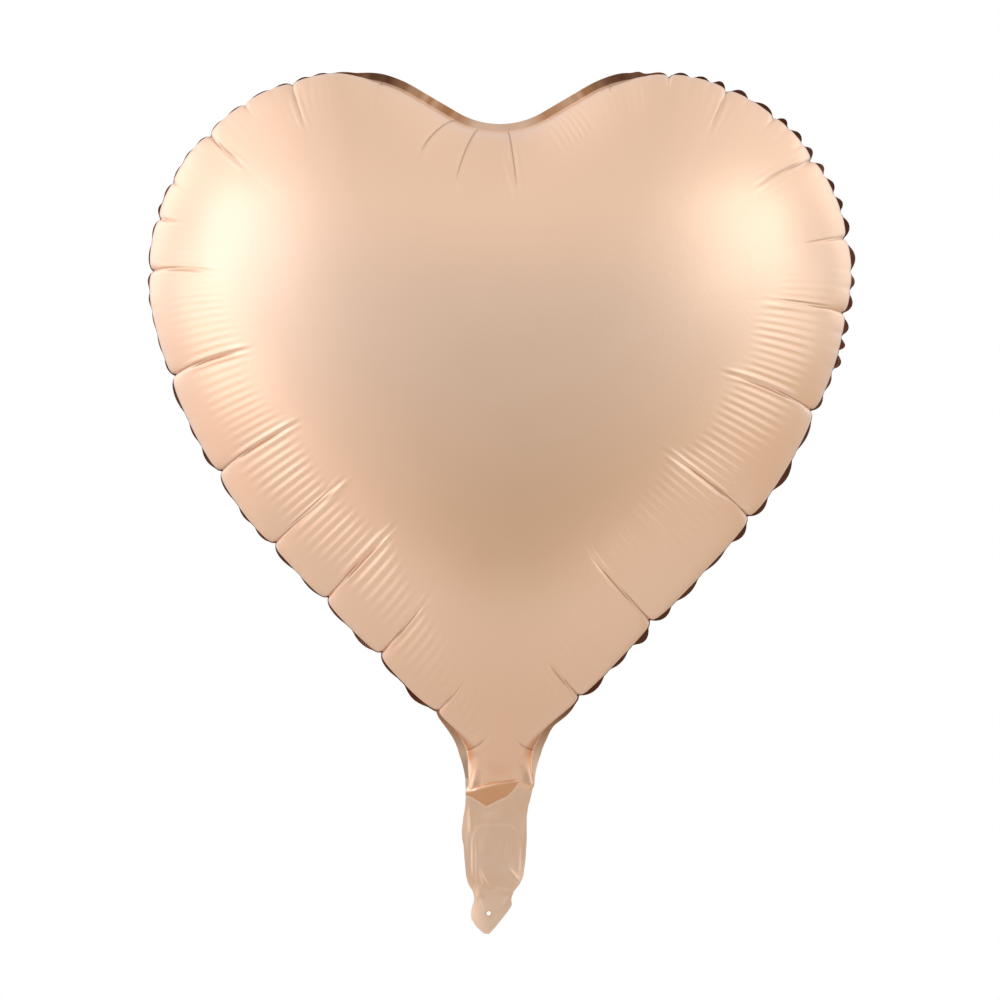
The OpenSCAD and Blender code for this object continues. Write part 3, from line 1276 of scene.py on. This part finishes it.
    def border_shade(self) -> np.ndarray:
        """How much painted shade each column of the border takes.

        Returns:
            Two shares a column: dark, a painted shade that is darkest round the lobes, at the cleft's ends
            and down the neck's left side, and warm, a warm painted shade for light bounced between folds,
            which lies on the cleft's slopes and the neck's sides.
        """
        x, z = self.spots[:, 0], self.spots[:, 1]
        wide, upper = np.abs(x), z > CLEFT_FLOOR
        mottle = self.seam.noise(9, 3.2, self.along)
        slope = smooth_step(wide, 13 * MM, 26 * MM)
        # Painted shade: the border is darkened round the lobes, at the cleft and on the neck's sides.
        cleft = 0.12 * slope * (1.0 + 0.8 * mottle) + 0.72 * smooth_step(wide, 44 * MM, 66 * MM)
        low = smooth_step(z, 16 * MM, 46 * MM)
        neck = 0.45 * low + 0.42 * (x < 0.0) * smooth_step(z, 26 * MM, 16 * MM)
        dark = np.where(upper, np.maximum(cleft, self.free), neck)
        dark = np.maximum(dark, self.free * 0.95)
        warm = np.where(upper, slope * (0.70 + 0.25 * mottle), 0.75 * low)
        return np.clip(np.stack([dark, warm], axis=1), 0.0, 1.0)

    def film_rows(self, side: Side) -> list[tuple[np.ndarray, np.ndarray]]:
        """The rings of one sheet, each with its painted shade, from the seam to just short of the crown.

        Args:
            side: Which sheet.

        Returns:
            Each ring's points and the painted shade at each of them, darkest in the creases.
        """
        rows, columns, _ = self.plan.shape
        flat = self.plan.reshape(-1, 2)
        slope = self.swell.slope(flat).reshape(rows, columns, 2)
        steep = np.linalg.norm(slope, axis=2)
        out = -slope / np.maximum(steep, 1e-9)[:, :, None]
        out[0] = self.outward
        steps = np.linalg.norm(np.diff(self.plan, axis=0), axis=2)
        depth = np.concatenate([np.zeros((1, columns)), np.cumsum(steps, axis=0)])
        share = self.levels[:, None]
        height = self.rise(share)
        rate = self.crown_h * (0.59 / np.sqrt(np.maximum(share, 1e-6)) - 0.27 * np.sqrt(share))
        lean = rate * steep / self.swell.top
        size = np.sqrt(1.0 + lean ** 2)
        apart = np.linalg.norm(np.roll(self.plan, -1, 1) - np.roll(self.plan, 1, 1), axis=2)
        spread = np.clip(apart / apart[0], 0.25, 1.7)
        relief, shade = self.puckers.relief(self.along, self.spots, depth, spread, side)
        relief = relief + self.neck_pleats(self.plan[:, :, 0], self.plan[:, :, 1])
        bulge = self.puckers.lobe_bulge(self.along, self.spots)[None, :]
        lift = height / self.bulge_height
        back = self.puckers.notches(self.along, self.spots)[None, :] * bell(depth, self.notch_depth)
        bulge = (bulge - back) * lift * np.exp(1.0 - lift)
        shift = self.puckers.edge_shift(self.along, self.spots)[None, :] * np.exp(-depth / (9 * MM))
        plan = self.plan + out * (shift + bulge + relief * lean / size)[:, :, None]
        y = self.layer + height * self.neck_flattening(self.plan[:, :, 1], share) + relief / size
        # Painted shade: thin dark lines along the neck's folds.
        shade = np.maximum(shade, self.neck_shade(self.plan[:, :, 0], self.plan[:, :, 1]))
        # Painted shade along the film's first ring, at the seam round the lobes.
        shade[0] = np.maximum(shade[0], 0.7 * self.free)
        lines = np.stack([plan[:, :, 0], side.value * y, plan[:, :, 1]], axis=2)
        return list(zip(lines, shade))

    def thinning(self, ring: int) -> int:
        """How many columns share one point on a ring: it doubles in steps on the way to the crown."""
        return 2 ** min(max((ring - self.band_rows) // 8 + 1, 0), 3)

    def sheet(self, side: Side, foil: bpy.types.Material) -> bpy.types.Object:
        """Build one foil sheet with its border.

        Args:
            side: Which sheet.
            foil: Its finish.

        Returns:
            The dressed piece.
        """
        mesh = RingMesh()
        for i in range(self.border_rows):
            share = 1.0 - i / self.border_rows
            mesh.add_ring(self.border(share, side.value * self.layer), self.border_shade(), 1)
        for i, (row, shade) in enumerate(self.film_rows(side)):
            # Painted shade: the film darkens towards the neck with the warm painted shade.
            warm = self.neck_painted_shade * smooth_step(row[:, 2], 120 * MM, 40 * MM)
            mesh.add_ring(row, np.stack([shade, warm], axis=1), self.thinning(i))
        top = side.value * (self.layer + self.crown_h)
        mesh.close(np.array([self.swell.crown[0], top, self.swell.crown[1]]))
        faces = mesh.faces if side is Side.BACK else [f[::-1] for f in mesh.faces]
        piece = make_piece(f"{side.name.lower()}_foil", np.concatenate(mesh.points), faces)
        # The first mask holds painted crease and border shade, the second the warm painted shade.
        for i, name in enumerate(("fold", "warm")):
            add_mask(piece, name, np.concatenate(mesh.masks)[:, i])
        dress(piece, foil)
        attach(piece, "heart")
        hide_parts(f"{side.name.lower()}_panel")
        return piece

    def fused_border(self, finish: bpy.types.Material) -> bpy.types.Object:
        """Build the fused layer, whose rim shows between the two sheets.

        Args:
            finish: Its finish.

        Returns:
            The dressed piece.
        """
        strip = RingMesh()
        for share in self.strip_lines:
            strip.add_ring(self.border(share, 0.0), np.zeros(self.columns), 1)
        piece = make_piece("fused_border", np.concatenate(strip.points), strip.faces)
        thicken(piece, self.strip_t)
        dress(piece, finish)
        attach(piece, "heart")
        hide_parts("edge_seal")
        return piece


# ---------------------------------------------------------------- tail


@dataclass
class Tail:
    """The flat filling tail: two foil sheets fused down both sides, with the valve between them."""

    top: float = 9.7 * MM
    tip: float = -78.5 * MM
    rows: int = 224
    columns: int = 84
    hole_x: float = -6.4 * MM
    hole_z: float = -67 * MM
    hole_r: float = 1.25 * MM
    seal_w: float = 4.5 * MM
    seal_end: float = -50 * MM
    seal_t: float = 0.48 * MM
    band_top: float = 8 * MM
    band_inset: float = 0.8 * MM
    band_t: float = 0.4 * MM
    inlet_top: float = -3 * MM
    inlet_tip: float = -46 * MM
    inlet_inset: float = 6.2 * MM
    inlet_away: float = 0.1 * MM
    apart: float = 0.34
    apron_rise: float = 3.4
    flat_cut: tuple = (0.038, 0.088)

    # The outline, in millimetres: height, left edge, right edge.
    EDGES = ((10, -19.4, 19.1), (9, -19.5, 19.1), (4, -19.6, 18.6), (-1.4, -19.5, 17.4),
             (-6, -19.7, 16.1), (-12, -20.7, 15.2), (-20, -21.7, 15.2), (-24.5, -21.6, 15.2),
             (-28.5, -20.7, 15), (-36, -20.2, 14.5), (-46, -19.2, 13.2), (-50.5, -18, 11.2),
             (-54.6, -15.4, 7.8), (-58.8, -14.5, 6.4), (-62.4, -15.6, 6.8), (-66, -16.5, 4.4),
             (-70, -16.4, 1.2), (-74.5, -13.6, -2.4), (-77.5, -10.2, -5.2), (-78.5, -8.6, -6.4))
    # The slanted fold under the neck and the brim above it, as x and height in millimetres.
    V_FOLD = ((-20.0, 0.6), (-16.0, -0.8), (-7.7, -6.2), (-2.0, -3.2), (3.6, -0.7), (7.2, 2.6),
              (12.9, 6.4), (15.5, 7.8), (20.0, 8.6))
    BRIM = ((-20.0, 1.8), (-16.0, 2.4), (-8.0, 4.6), (0.0, 6.6), (8.0, 8.0), (15.5, 8.8), (20.0, 9.4))
    # Each ridge that the valve prints on the foil: x, z, half width, half length, lean, height.
    PRINTS = ((-15.4, -36.0, 0.65, 10.0, 0.00, 0.20), (-13.3, -37.0, 0.60, 11.0, 0.03, 0.20),
              (-10.4, -46.0, 0.90, 5.0, 0.30, 0.34), (-8.2, -49.0, 0.80, 3.5, 0.45, 0.22),
              (-11.2, -54.5, 2.60, 3.4, 0.10, 0.38), (1.5, -54.2, 1.50, 3.6, 1.25, 0.26),
              (10.9, -34.0, 0.90, 11.0, -0.02, 0.20), (8.2, -45.5, 0.90, 4.5, 0.70, 0.22),
              (-3.2, -13.0, 4.60, 2.6, 0.00, 0.14), (3.5, -60.5, 1.20, 4.0, -0.60, 0.16),
              (-9.0, -63.0, 1.30, 4.0, 0.50, 0.14), (-16.9, -14.0, 1.10, 7.0, 0.05, 0.22),
              (13.4, -24.0, 0.70, 12.0, 0.00, 0.16), (-5.2, -26.0, 0.60, 6.0, 0.05, 0.08),
              (2.6, -30.0, 0.70, 7.0, -0.06, 0.07), (-18.6, -34.0, 0.80, 9.0, -0.04, 0.14))

    def edges(self, z: np.ndarray) -> tuple[np.ndarray, np.ndarray]:
        """The left and right edges at heights z.

        Args:
            z: The heights.

        Returns:
            The x of the left edge and of the right edge.
        """
        table = np.array(self.EDGES[::-1]) * MM
        fine = np.linspace(table[0, 0], table[-1, 0], 400)
        left, right = (np.interp(fine, table[:, 0], table[:, i]) for i in (1, 2))
        kernel = np.hanning(13)
        kernel /= kernel.sum()
        reach = len(kernel) // 2
        left, right = (np.convolve(np.pad(edge, reach, mode="edge"), kernel, mode="valid")
                       for edge in (left, right))
        return np.interp(z, fine, left), np.interp(z, fine, right)

    def middle(self, x: np.ndarray, z: np.ndarray) -> np.ndarray:
        """How far the tail's middle surface stands out of its plane.

        Args:
            x: The points' places across.
            z: The points' heights.

        Returns:
            Its y at each point.
        """
        down = np.clip(z / self.tip, 0.0, 1.0)
        curl = 1.2 * np.sin(down * 3.4) - 0.9 * down ** 2
        cup = 0.9 * smooth_step(z, -42 * MM, -62 * MM) * (x / (12 * MM)) ** 2
        crumple = 0.32 * np.sin(x / (4.6 * MM) + z / (11 * MM) + 0.6) * smooth_step(z, -38 * MM, -54 * MM)
        roll = 0.55 * np.sin(x / (8.0 * MM) - 0.8) * window(z, -44 * MM, -14 * MM, 10 * MM)
        edge = 0.5 * np.sin(z / (6.5 * MM) + x / (9 * MM)) * (np.abs(x + 3 * MM) / (17 * MM)) ** 3
        return (curl + cup + crumple + roll + edge) * MM * smooth_step(z, 2 * MM, -10 * MM)

    def swell(self, x: np.ndarray, z: np.ndarray, across: np.ndarray) -> np.ndarray:
        """How far one sheet stands away from the middle surface.

        Args:
            x: The points' places across.
            z: The points' heights.
            across: Where they stand from edge to edge, from -1 to 1.

        Returns:
            The distance at each point.
        """
        wide, tall = np.abs(x + 2.4 * MM) / (13.4 * MM), np.abs(z + 34.5 * MM) / (17.5 * MM)
        ring = wide ** 4.0 + tall ** np.where(z > -34.5 * MM, 3.6, 2.4)
        inside = smooth_step(ring, 1.34, 0.76)
        rim = bell(ring - 1.0, 0.20) * (0.4 + 0.6 * smooth_step(z, -48 * MM, -30 * MM))
        gather = 0.06 * np.sin(x / (1.7 * MM) + 2.0 * np.sin(z / (9 * MM)))
        gather = gather * window(z, -30 * MM, -6 * MM, 8 * MM)
        height = 0.15 * inside + 0.02 * rim + gather
        for at_x, at_z, width, length, lean, rise in self.PRINTS:
            dx, dz = x / MM - at_x, z / MM - at_z
            over = dx * math.cos(lean) + dz * math.sin(lean)
            way = dz * math.cos(lean) - dx * math.sin(lean)
            height = height + rise * bell(over, width) * np.exp(-(way / length) ** 4)
        seal = smooth_step(np.abs(across), 1.0, 0.80)
        return (self.apart + height * seal) * MM

    def apron(self, x: np.ndarray, z: np.ndarray, across: np.ndarray) -> np.ndarray:
        """The sagging facet above the slanted fold, where the neck's film bends down into the tail.

        Args:
            x: The points' places across.
            z: The points' heights.
            across: Where they stand from edge to edge, from -1 to 1.

        Returns:
            What the facet adds to the sheet's distance from the middle surface.
        """
        fold, brim = self.line(self.V_FOLD, x), self.line(self.BRIM, x)
        share = np.clip((z - fold) / (brim - fold), 0.0, 1.0)
        rise = self.apron_rise * share * (0.25 + 0.75 * smooth_step(brim - fold, 0.0, 6 * MM))
        rise = rise * smooth_step(z, np.minimum(brim + 4 * MM, self.top), brim + 0.2 * MM)
        lip = 0.22 * bell(z - fold + 1.3 * MM, 0.9 * MM)
        slack = 0.12 * (1.0 + np.sin(x / (3.1 * MM) + 1.0)) * window(z, -8 * MM, -1 * MM, 5 * MM)
        return (rise + lip + slack) * MM * (1.0 - np.abs(across) ** 6)

    def line(self, table: tuple, x: np.ndarray) -> np.ndarray:
        """The height, at each x, of a line whose points are given in millimetres."""
        return np.interp(x, *(np.array(table).T * MM))

    def grid(self, side: Side, rows: int, columns: int, top: float, tip: float, inset: float,
             offset: float | None) -> tuple[np.ndarray, list, np.ndarray]:
        """A grid of points over the tail.

        Args:
            side: The sheet that the grid belongs to.
            rows: Rows from top to tip.
            columns: Columns from edge to edge.
            top: The highest row.
            tip: The lowest row.
            inset: How far its sides stand in from the tail's edges.
            offset: A fixed distance from the middle surface, or None for the foil's own.

        Returns:
            The points, the faces and the flat x and z of every point.
        """
        z = top + (tip - top) * np.linspace(0.0, 1.0, rows)
        left, right = self.edges(z)
        across = np.linspace(-1.0, 1.0, columns)[None, :]
        half = (right - left)[:, None] / 2 - inset
        x = (right + left)[:, None] / 2 + across * np.maximum(half, 0.3 * MM)
        z = np.repeat(z[:, None], columns, axis=1)
        away = self.swell(x, z, across) + self.apron(x, z, across) if offset is None else offset
        y = self.middle(x, z) + side.value * away
        points = np.stack([x, y, z], axis=2).reshape(-1, 3)
        quads = quads_over(rows, columns)
        quads = quads if side is Side.BACK else quads[:, [0, 3, 2, 1]]
        return points, quads, points[:, [0, 2]]

    def punch(self, points: np.ndarray, quads: np.ndarray, flat: np.ndarray) -> list:
        """Open the ribbon hole: faces inside it go, and the points round it move onto its edge.

        Args:
            points: The sheet's points, which are moved in place.
            quads: Its faces.
            flat: The flat x and z of every point.

        Returns:
            The faces that stay.
        """
        away = flat - np.array([self.hole_x, self.hole_z])
        gap = np.linalg.norm(away, axis=1)
        inside = gap < self.hole_r * 0.93
        kept = quads[~inside[quads].any(axis=1)]
        rim = np.zeros(len(points), bool)
        lost = quads[inside[quads].any(axis=1)]
        rim[lost.reshape(-1)] = True
        rim &= ~inside
        unit = away[rim] / gap[rim][:, None]
        points[rim, 0] = self.hole_x + unit[:, 0] * self.hole_r
        points[rim, 2] = self.hole_z + unit[:, 1] * self.hole_r
        return kept.tolist()

    def foil(self, side: Side, finish: bpy.types.Material) -> bpy.types.Object:
        """Build one foil sheet of the tail.

        Args:
            side: Which sheet.
            finish: Its finish.

        Returns:
            The dressed piece.
        """
        points, quads, flat = self.grid(side, self.rows, self.columns, self.top, self.tip, 0.0, None)
        faces = self.punch(points, quads, flat)
        piece = make_piece(f"tail_{side.name.lower()}_foil", points, faces)
        self._drop_loose(piece)
        # Painted shade under the neck's overhang and round the hole, kept as a point mask.
        add_mask(piece, "warm", self.facet_shade(piece))
        dress(piece, finish)
        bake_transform(piece)
        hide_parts(f"tail_{side.name.lower()}")
        return piece

    def facet_shade(self, piece: bpy.types.Object) -> np.ndarray:
        """How much warm painted shade each point takes: some under the neck's overhang, a line along
        the slanted fold, and a ring round the punched hole.

        Args:
            piece: A foil sheet of the tail.

        Returns:
            The painted shade at each of its points, from 0 to 1.
        """
        place = np.empty(len(piece.data.vertices) * 3)
        piece.data.vertices.foreach_get("co", place)
        x, z = place[0::3], place[2::3]
        fold, brim = self.line(self.V_FOLD, x), self.line(self.BRIM, x)
        facet = smooth_step(z, fold - 0.3 * MM, fold + 0.7 * MM)
        facet = facet * smooth_step(z, brim + 1.2 * MM, brim - 1.2 * MM)
        line = bell(z - fold - 0.3 * MM, 0.6 * MM)
        rim = bell(np.hypot(x - self.hole_x, z - self.hole_z) - self.hole_r, 0.6 * MM)
        # Painted shade: the facet, a line along the fold and a ring round the hole are darkened.
        return np.clip(0.72 * facet + 0.24 * line + 0.5 * rim, 0.0, 1.0)

    def _drop_loose(self, piece: bpy.types.Object) -> None:
        """Remove points that no face uses.

        Args:
            piece: The piece.
        """
        select_only(piece)
        bpy.ops.object.mode_set(mode="EDIT")
        bpy.ops.mesh.select_all(action="SELECT")
        bpy.ops.mesh.delete_loose(use_verts=True, use_edges=True, use_faces=False)
        bpy.ops.object.mode_set(mode="OBJECT")

    def side_seal(self, side_name: str, finish: bpy.types.Material) -> bpy.types.Object:
        """Build the fused strip down one edge of the tail.

        Args:
            side_name: Which edge, "left" or "right".
            finish: Its finish.

        Returns:
            The dressed piece.
        """
        z = np.linspace(self.top - 1 * MM, self.seal_end, 120)
        left, right = self.edges(z)
        edge, inwards = (left, 1.0) if side_name == "left" else (right, -1.0)
        lines = []
        for inset in np.linspace(0.0, self.seal_w, 4):
            x = edge + inwards * inset
            lines.append(np.stack([x, self.middle(x, z), z], axis=1))
        quads = quads_over(len(lines), len(z)).tolist()
        piece = make_piece(f"tail_{side_name}_seal_strip", np.concatenate(lines), quads)
        thicken(piece, self.seal_t)
        dress(piece, finish)
        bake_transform(piece)
        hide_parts(f"tail_seal_{side_name}")
        return piece

    def neck_band(self, finish: bpy.types.Material) -> bpy.types.Object:
        """Build the band that fuses the film to the tail across the foot of the neck.

        Args:
            finish: Its finish.

        Returns:
            The dressed piece.
        """
        rows, columns, inset = 12, 40, self.band_inset
        z = np.linspace(self.band_top, 0.0, rows)
        left, right = self.edges(z)
        across = np.linspace(0.0, 1.0, columns)[None, :]
        x = (left + inset)[:, None] * (1.0 - across) + (right - inset)[:, None] * across
        z = np.repeat(z[:, None], columns, axis=1)
        points = np.stack([x, np.zeros_like(x), z], axis=2).reshape(-1, 3)
        piece = make_piece("neck_band", points, quads_over(rows, columns).tolist())
        thicken(piece, self.band_t)
        dress(piece, finish)
        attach(piece, "heart")
        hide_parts("neck_seal")
        return piece

    def inlet_film(self, side: Side, finish: bpy.types.Material) -> bpy.types.Object:
        """Build one clear valve film inside the tail.

        Args:
            side: Which sheet it lies against.
            finish: Its finish.

        Returns:
            The dressed piece.
        """
        points, quads, _ = self.grid(side, 60, 24, self.inlet_top, self.inlet_tip,
                                     self.inlet_inset, self.inlet_away)
        piece = make_piece(f"valve_{side.name.lower()}_film", points, quads.tolist())
        dress(piece, finish)
        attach(piece, "tail")
        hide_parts(f"valve_inlet_{side.name.lower()}")
        return piece


@dataclass
class HiddenParts:
    """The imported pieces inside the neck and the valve, which keep their own shape."""

    printed: tuple = ("release_strip",)
    clear: tuple = ("valve_leaf_front", "valve_leaf_back")

    def dress_all(self, film: bpy.types.Material, ink: bpy.types.Material) -> None:
        """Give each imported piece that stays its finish.

        Args:
            film: The valve leaves' finish.
            ink: The release layer's finish.
        """
        for node, finish in [(n, ink) for n in self.printed] + [(n, film) for n in self.clear]:
            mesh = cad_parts[node].data
            mesh.materials.clear()
            mesh.materials.append(finish)


# ---------------------------------------------------------------- studio


@dataclass
class Studio:
    """A white studio: a pale floor, three softboxes at each side and a camera square to the front."""

    target: tuple = (0.0, 0.0, 167.5 * MM)
    view_width: float = 567.4 * MM
    distance: float = 2.3
    sensor: float = 36.0
    aim_up: float = 50 * MM
    floor_z: float = -0.58
    floor_r: float = 1.25

    COOL, MILD, PALE = (0.60, 0.74, 1.0), (0.80, 0.90, 1.0), (0.74, 0.86, 1.0)
    # Each softbox: name, place, size, power, tint.
    BOXES = (("left_front_box", (-1.7, -1.5, 1.1), (1.6, 1.2), 5.3, COOL),
             ("right_front_box", (1.6, -1.6, 1.1), (1.6, 1.2), 5.7, PALE),
             ("left_low_box", (-2.0, -0.9, 0.10), (1.6, 1.2), 3.4, MILD),
             ("right_low_box", (2.0, -0.9, 0.10), (1.6, 1.2), 2.4, MILD),
             ("left_back_box", (-1.85, 1.15, 0.85), (1.7, 1.5), 3.2, MILD),
             ("right_back_box", (1.85, 1.15, 0.85), (1.7, 1.5), 3.2, MILD))
    # The surround's colours, from below to above and from left to right: place on the ramp, colour.
    HEIGHTS = ((0.28, (0.45, 0.38, 0.26)), (0.52, (0.55, 0.61, 0.69)),
               (0.56, (0.55, 0.61, 0.69)), (0.78, (0.80, 0.82, 0.86)))
    SIDES = ((0.10, (0.51, 0.53, 0.66)), (0.50, (0.0, 0.0, 0.0)), (0.90, (0.25, 0.27, 0.33)))

    def camera(self) -> None:
        """Put the camera square to the front of the heart."""
        data = bpy.data.cameras.new("camera")
        data.sensor_width = self.sensor
        data.lens = self.sensor * self.distance / self.view_width
        data.clip_end = 30.0
        camera = bpy.data.objects.new("camera", data)
        camera.location = (self.target[0], -self.distance, self.target[2])
        camera.rotation_euler = (math.pi / 2, 0.0, 0.0)
        bpy.context.scene.collection.objects.link(camera)
        bpy.context.scene.camera = camera

    def softbox(self, name: str, place: tuple, size: tuple, power: float, tint: tuple) -> None:
        """Add one softbox that faces the balloon.

        Args:
            name: The light's name.
            place: Where it stands.
            size: Its width and height.
            power: Its power, in watts.
            tint: Its colour.
        """
        light = bpy.data.lights.new(name, "AREA")
        light.shape = "RECTANGLE"
        light.size, light.size_y = size
        light.energy = power
        light.color = tint
        lamp = bpy.data.objects.new(name, light)
        lamp.location = place
        aim = Vector(self.target) + Vector((0.0, 0.0, self.aim_up)) - Vector(place)
        lamp.rotation_euler = aim.to_track_quat("-Z", "Y").to_euler()
        bpy.context.scene.collection.objects.link(lamp)

    def lights(self) -> None:
        """Light the heart from both sides, front and back alike."""
        for box in self.BOXES:
            self.softbox(*box)

    def world(self) -> None:
        """Set a soft surround that is brighter above than below and brightest at the left."""
        world = bpy.data.worlds.new("studio")
        bpy.context.scene.world = world
        world.use_nodes = True
        tree = world.node_tree
        tree.nodes.clear()
        output = tree.nodes.new("ShaderNodeOutputWorld")
        mix = tree.nodes.new("ShaderNodeMixShader")
        path = tree.nodes.new("ShaderNodeLightPath")
        seen = tree.nodes.new("ShaderNodeBackground")
        felt = tree.nodes.new("ShaderNodeBackground")
        seen.inputs["Color"].default_value = (1.0, 1.0, 1.0, 1.0)
        coords = tree.nodes.new("ShaderNodeTexCoord")
        split = tree.nodes.new("ShaderNodeSeparateXYZ")
        tree.links.new(coords.outputs["Generated"], split.inputs[0])
        total = tree.nodes.new("ShaderNodeVectorMath")
        total.operation = "ADD"
        for slot, axis, stops in ((0, "Z", self.HEIGHTS), (1, "X", self.SIDES)):
            half = tree.nodes.new("ShaderNodeMath")
            half.operation = "MULTIPLY_ADD"
            half.inputs[1].default_value = half.inputs[2].default_value = 0.5
            tree.links.new(split.outputs[axis], half.inputs[0])
            ramp = tree.nodes.new("ShaderNodeValToRGB")
            ramp.color_ramp.interpolation = "EASE"
            ramp.color_ramp.elements.remove(ramp.color_ramp.elements[-1])
            ramp.color_ramp.elements[0].position = stops[0][0]
            ramp.color_ramp.elements[0].color = (*stops[0][1], 1.0)
            for place, colour in stops[1:]:
                ramp.color_ramp.elements.new(place).color = (*colour, 1.0)
            tree.links.new(half.outputs[0], ramp.inputs["Fac"])
            tree.links.new(ramp.outputs["Color"], total.inputs[slot])
        tree.links.new(total.outputs[0], felt.inputs["Color"])
        tree.links.new(path.outputs["Is Camera Ray"], mix.inputs[0])
        tree.links.new(felt.outputs[0], mix.inputs[1])
        tree.links.new(seen.outputs[0], mix.inputs[2])
        tree.links.new(mix.outputs[0], output.inputs["Surface"])

    def floor(self) -> None:
        """Lay a pale round floor below the hanging balloon."""
        bpy.ops.object.select_all(action="DESELECT")
        bpy.ops.mesh.primitive_cylinder_add(vertices=96, radius=self.floor_r, depth=0.02,
                                            location=(0.0, 0.0, self.floor_z - 0.01))
        floor = bpy.context.active_object
        floor.name = "studio_floor"
        bpy.ops.object.transform_apply(location=True)
        shader = Shader("pale_floor")
        rough = 0.75 + 0.1 * shader.noise(12.0, 3.0, 0.5)
        tint = shader.blend(shader.noise(5.0, 3.0, 0.5),
                            (0.72, 0.695, 0.66, 1.0), (0.68, 0.655, 0.62, 1.0))
        floor.data.materials.append(shader.finish(Base_Color=tint, Roughness=rough))

    def build(self) -> None:
        """Set up the whole studio."""
        bpy.context.scene.view_settings.view_transform = "Standard"
        self.camera()
        self.lights()
        self.world()
        self.floor()


def main() -> None:
    """Build the balloon and the studio."""
    logging.basicConfig(level=logging.INFO, format="%(name)s: %(message)s")
    Studio().build()
    low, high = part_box("edge_seal")
    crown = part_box("front_panel")[0].y
    foil, fused = SatinFoil().material(), FusedFoil().material()
    film, ink = ClearFilm().material(), ReleaseLayer().material()
    seam = SeamLine(HeartOutline(width=high.x - low.x, foot=low.z))
    heart = Heart(seam, InflationField(seam), Puckers(seam), crown_h=abs(crown) - CROWN_GAP)
    tail = Tail()
    pieces = [heart.sheet(side, foil) for side in Side]
    pieces.append(heart.fused_border(fused))
    for side in Side:
        pieces += [tail.foil(side, foil), tail.inlet_film(side, film)]
    pieces += [tail.side_seal("left", fused), tail.side_seal("right", fused), tail.neck_band(fused)]
    for piece in pieces:
        LOG.info("%s has %d faces", piece.name, len(piece.data.polygons))
    HiddenParts().dress_all(film, ink)


if __name__ == "__main__":
    main()
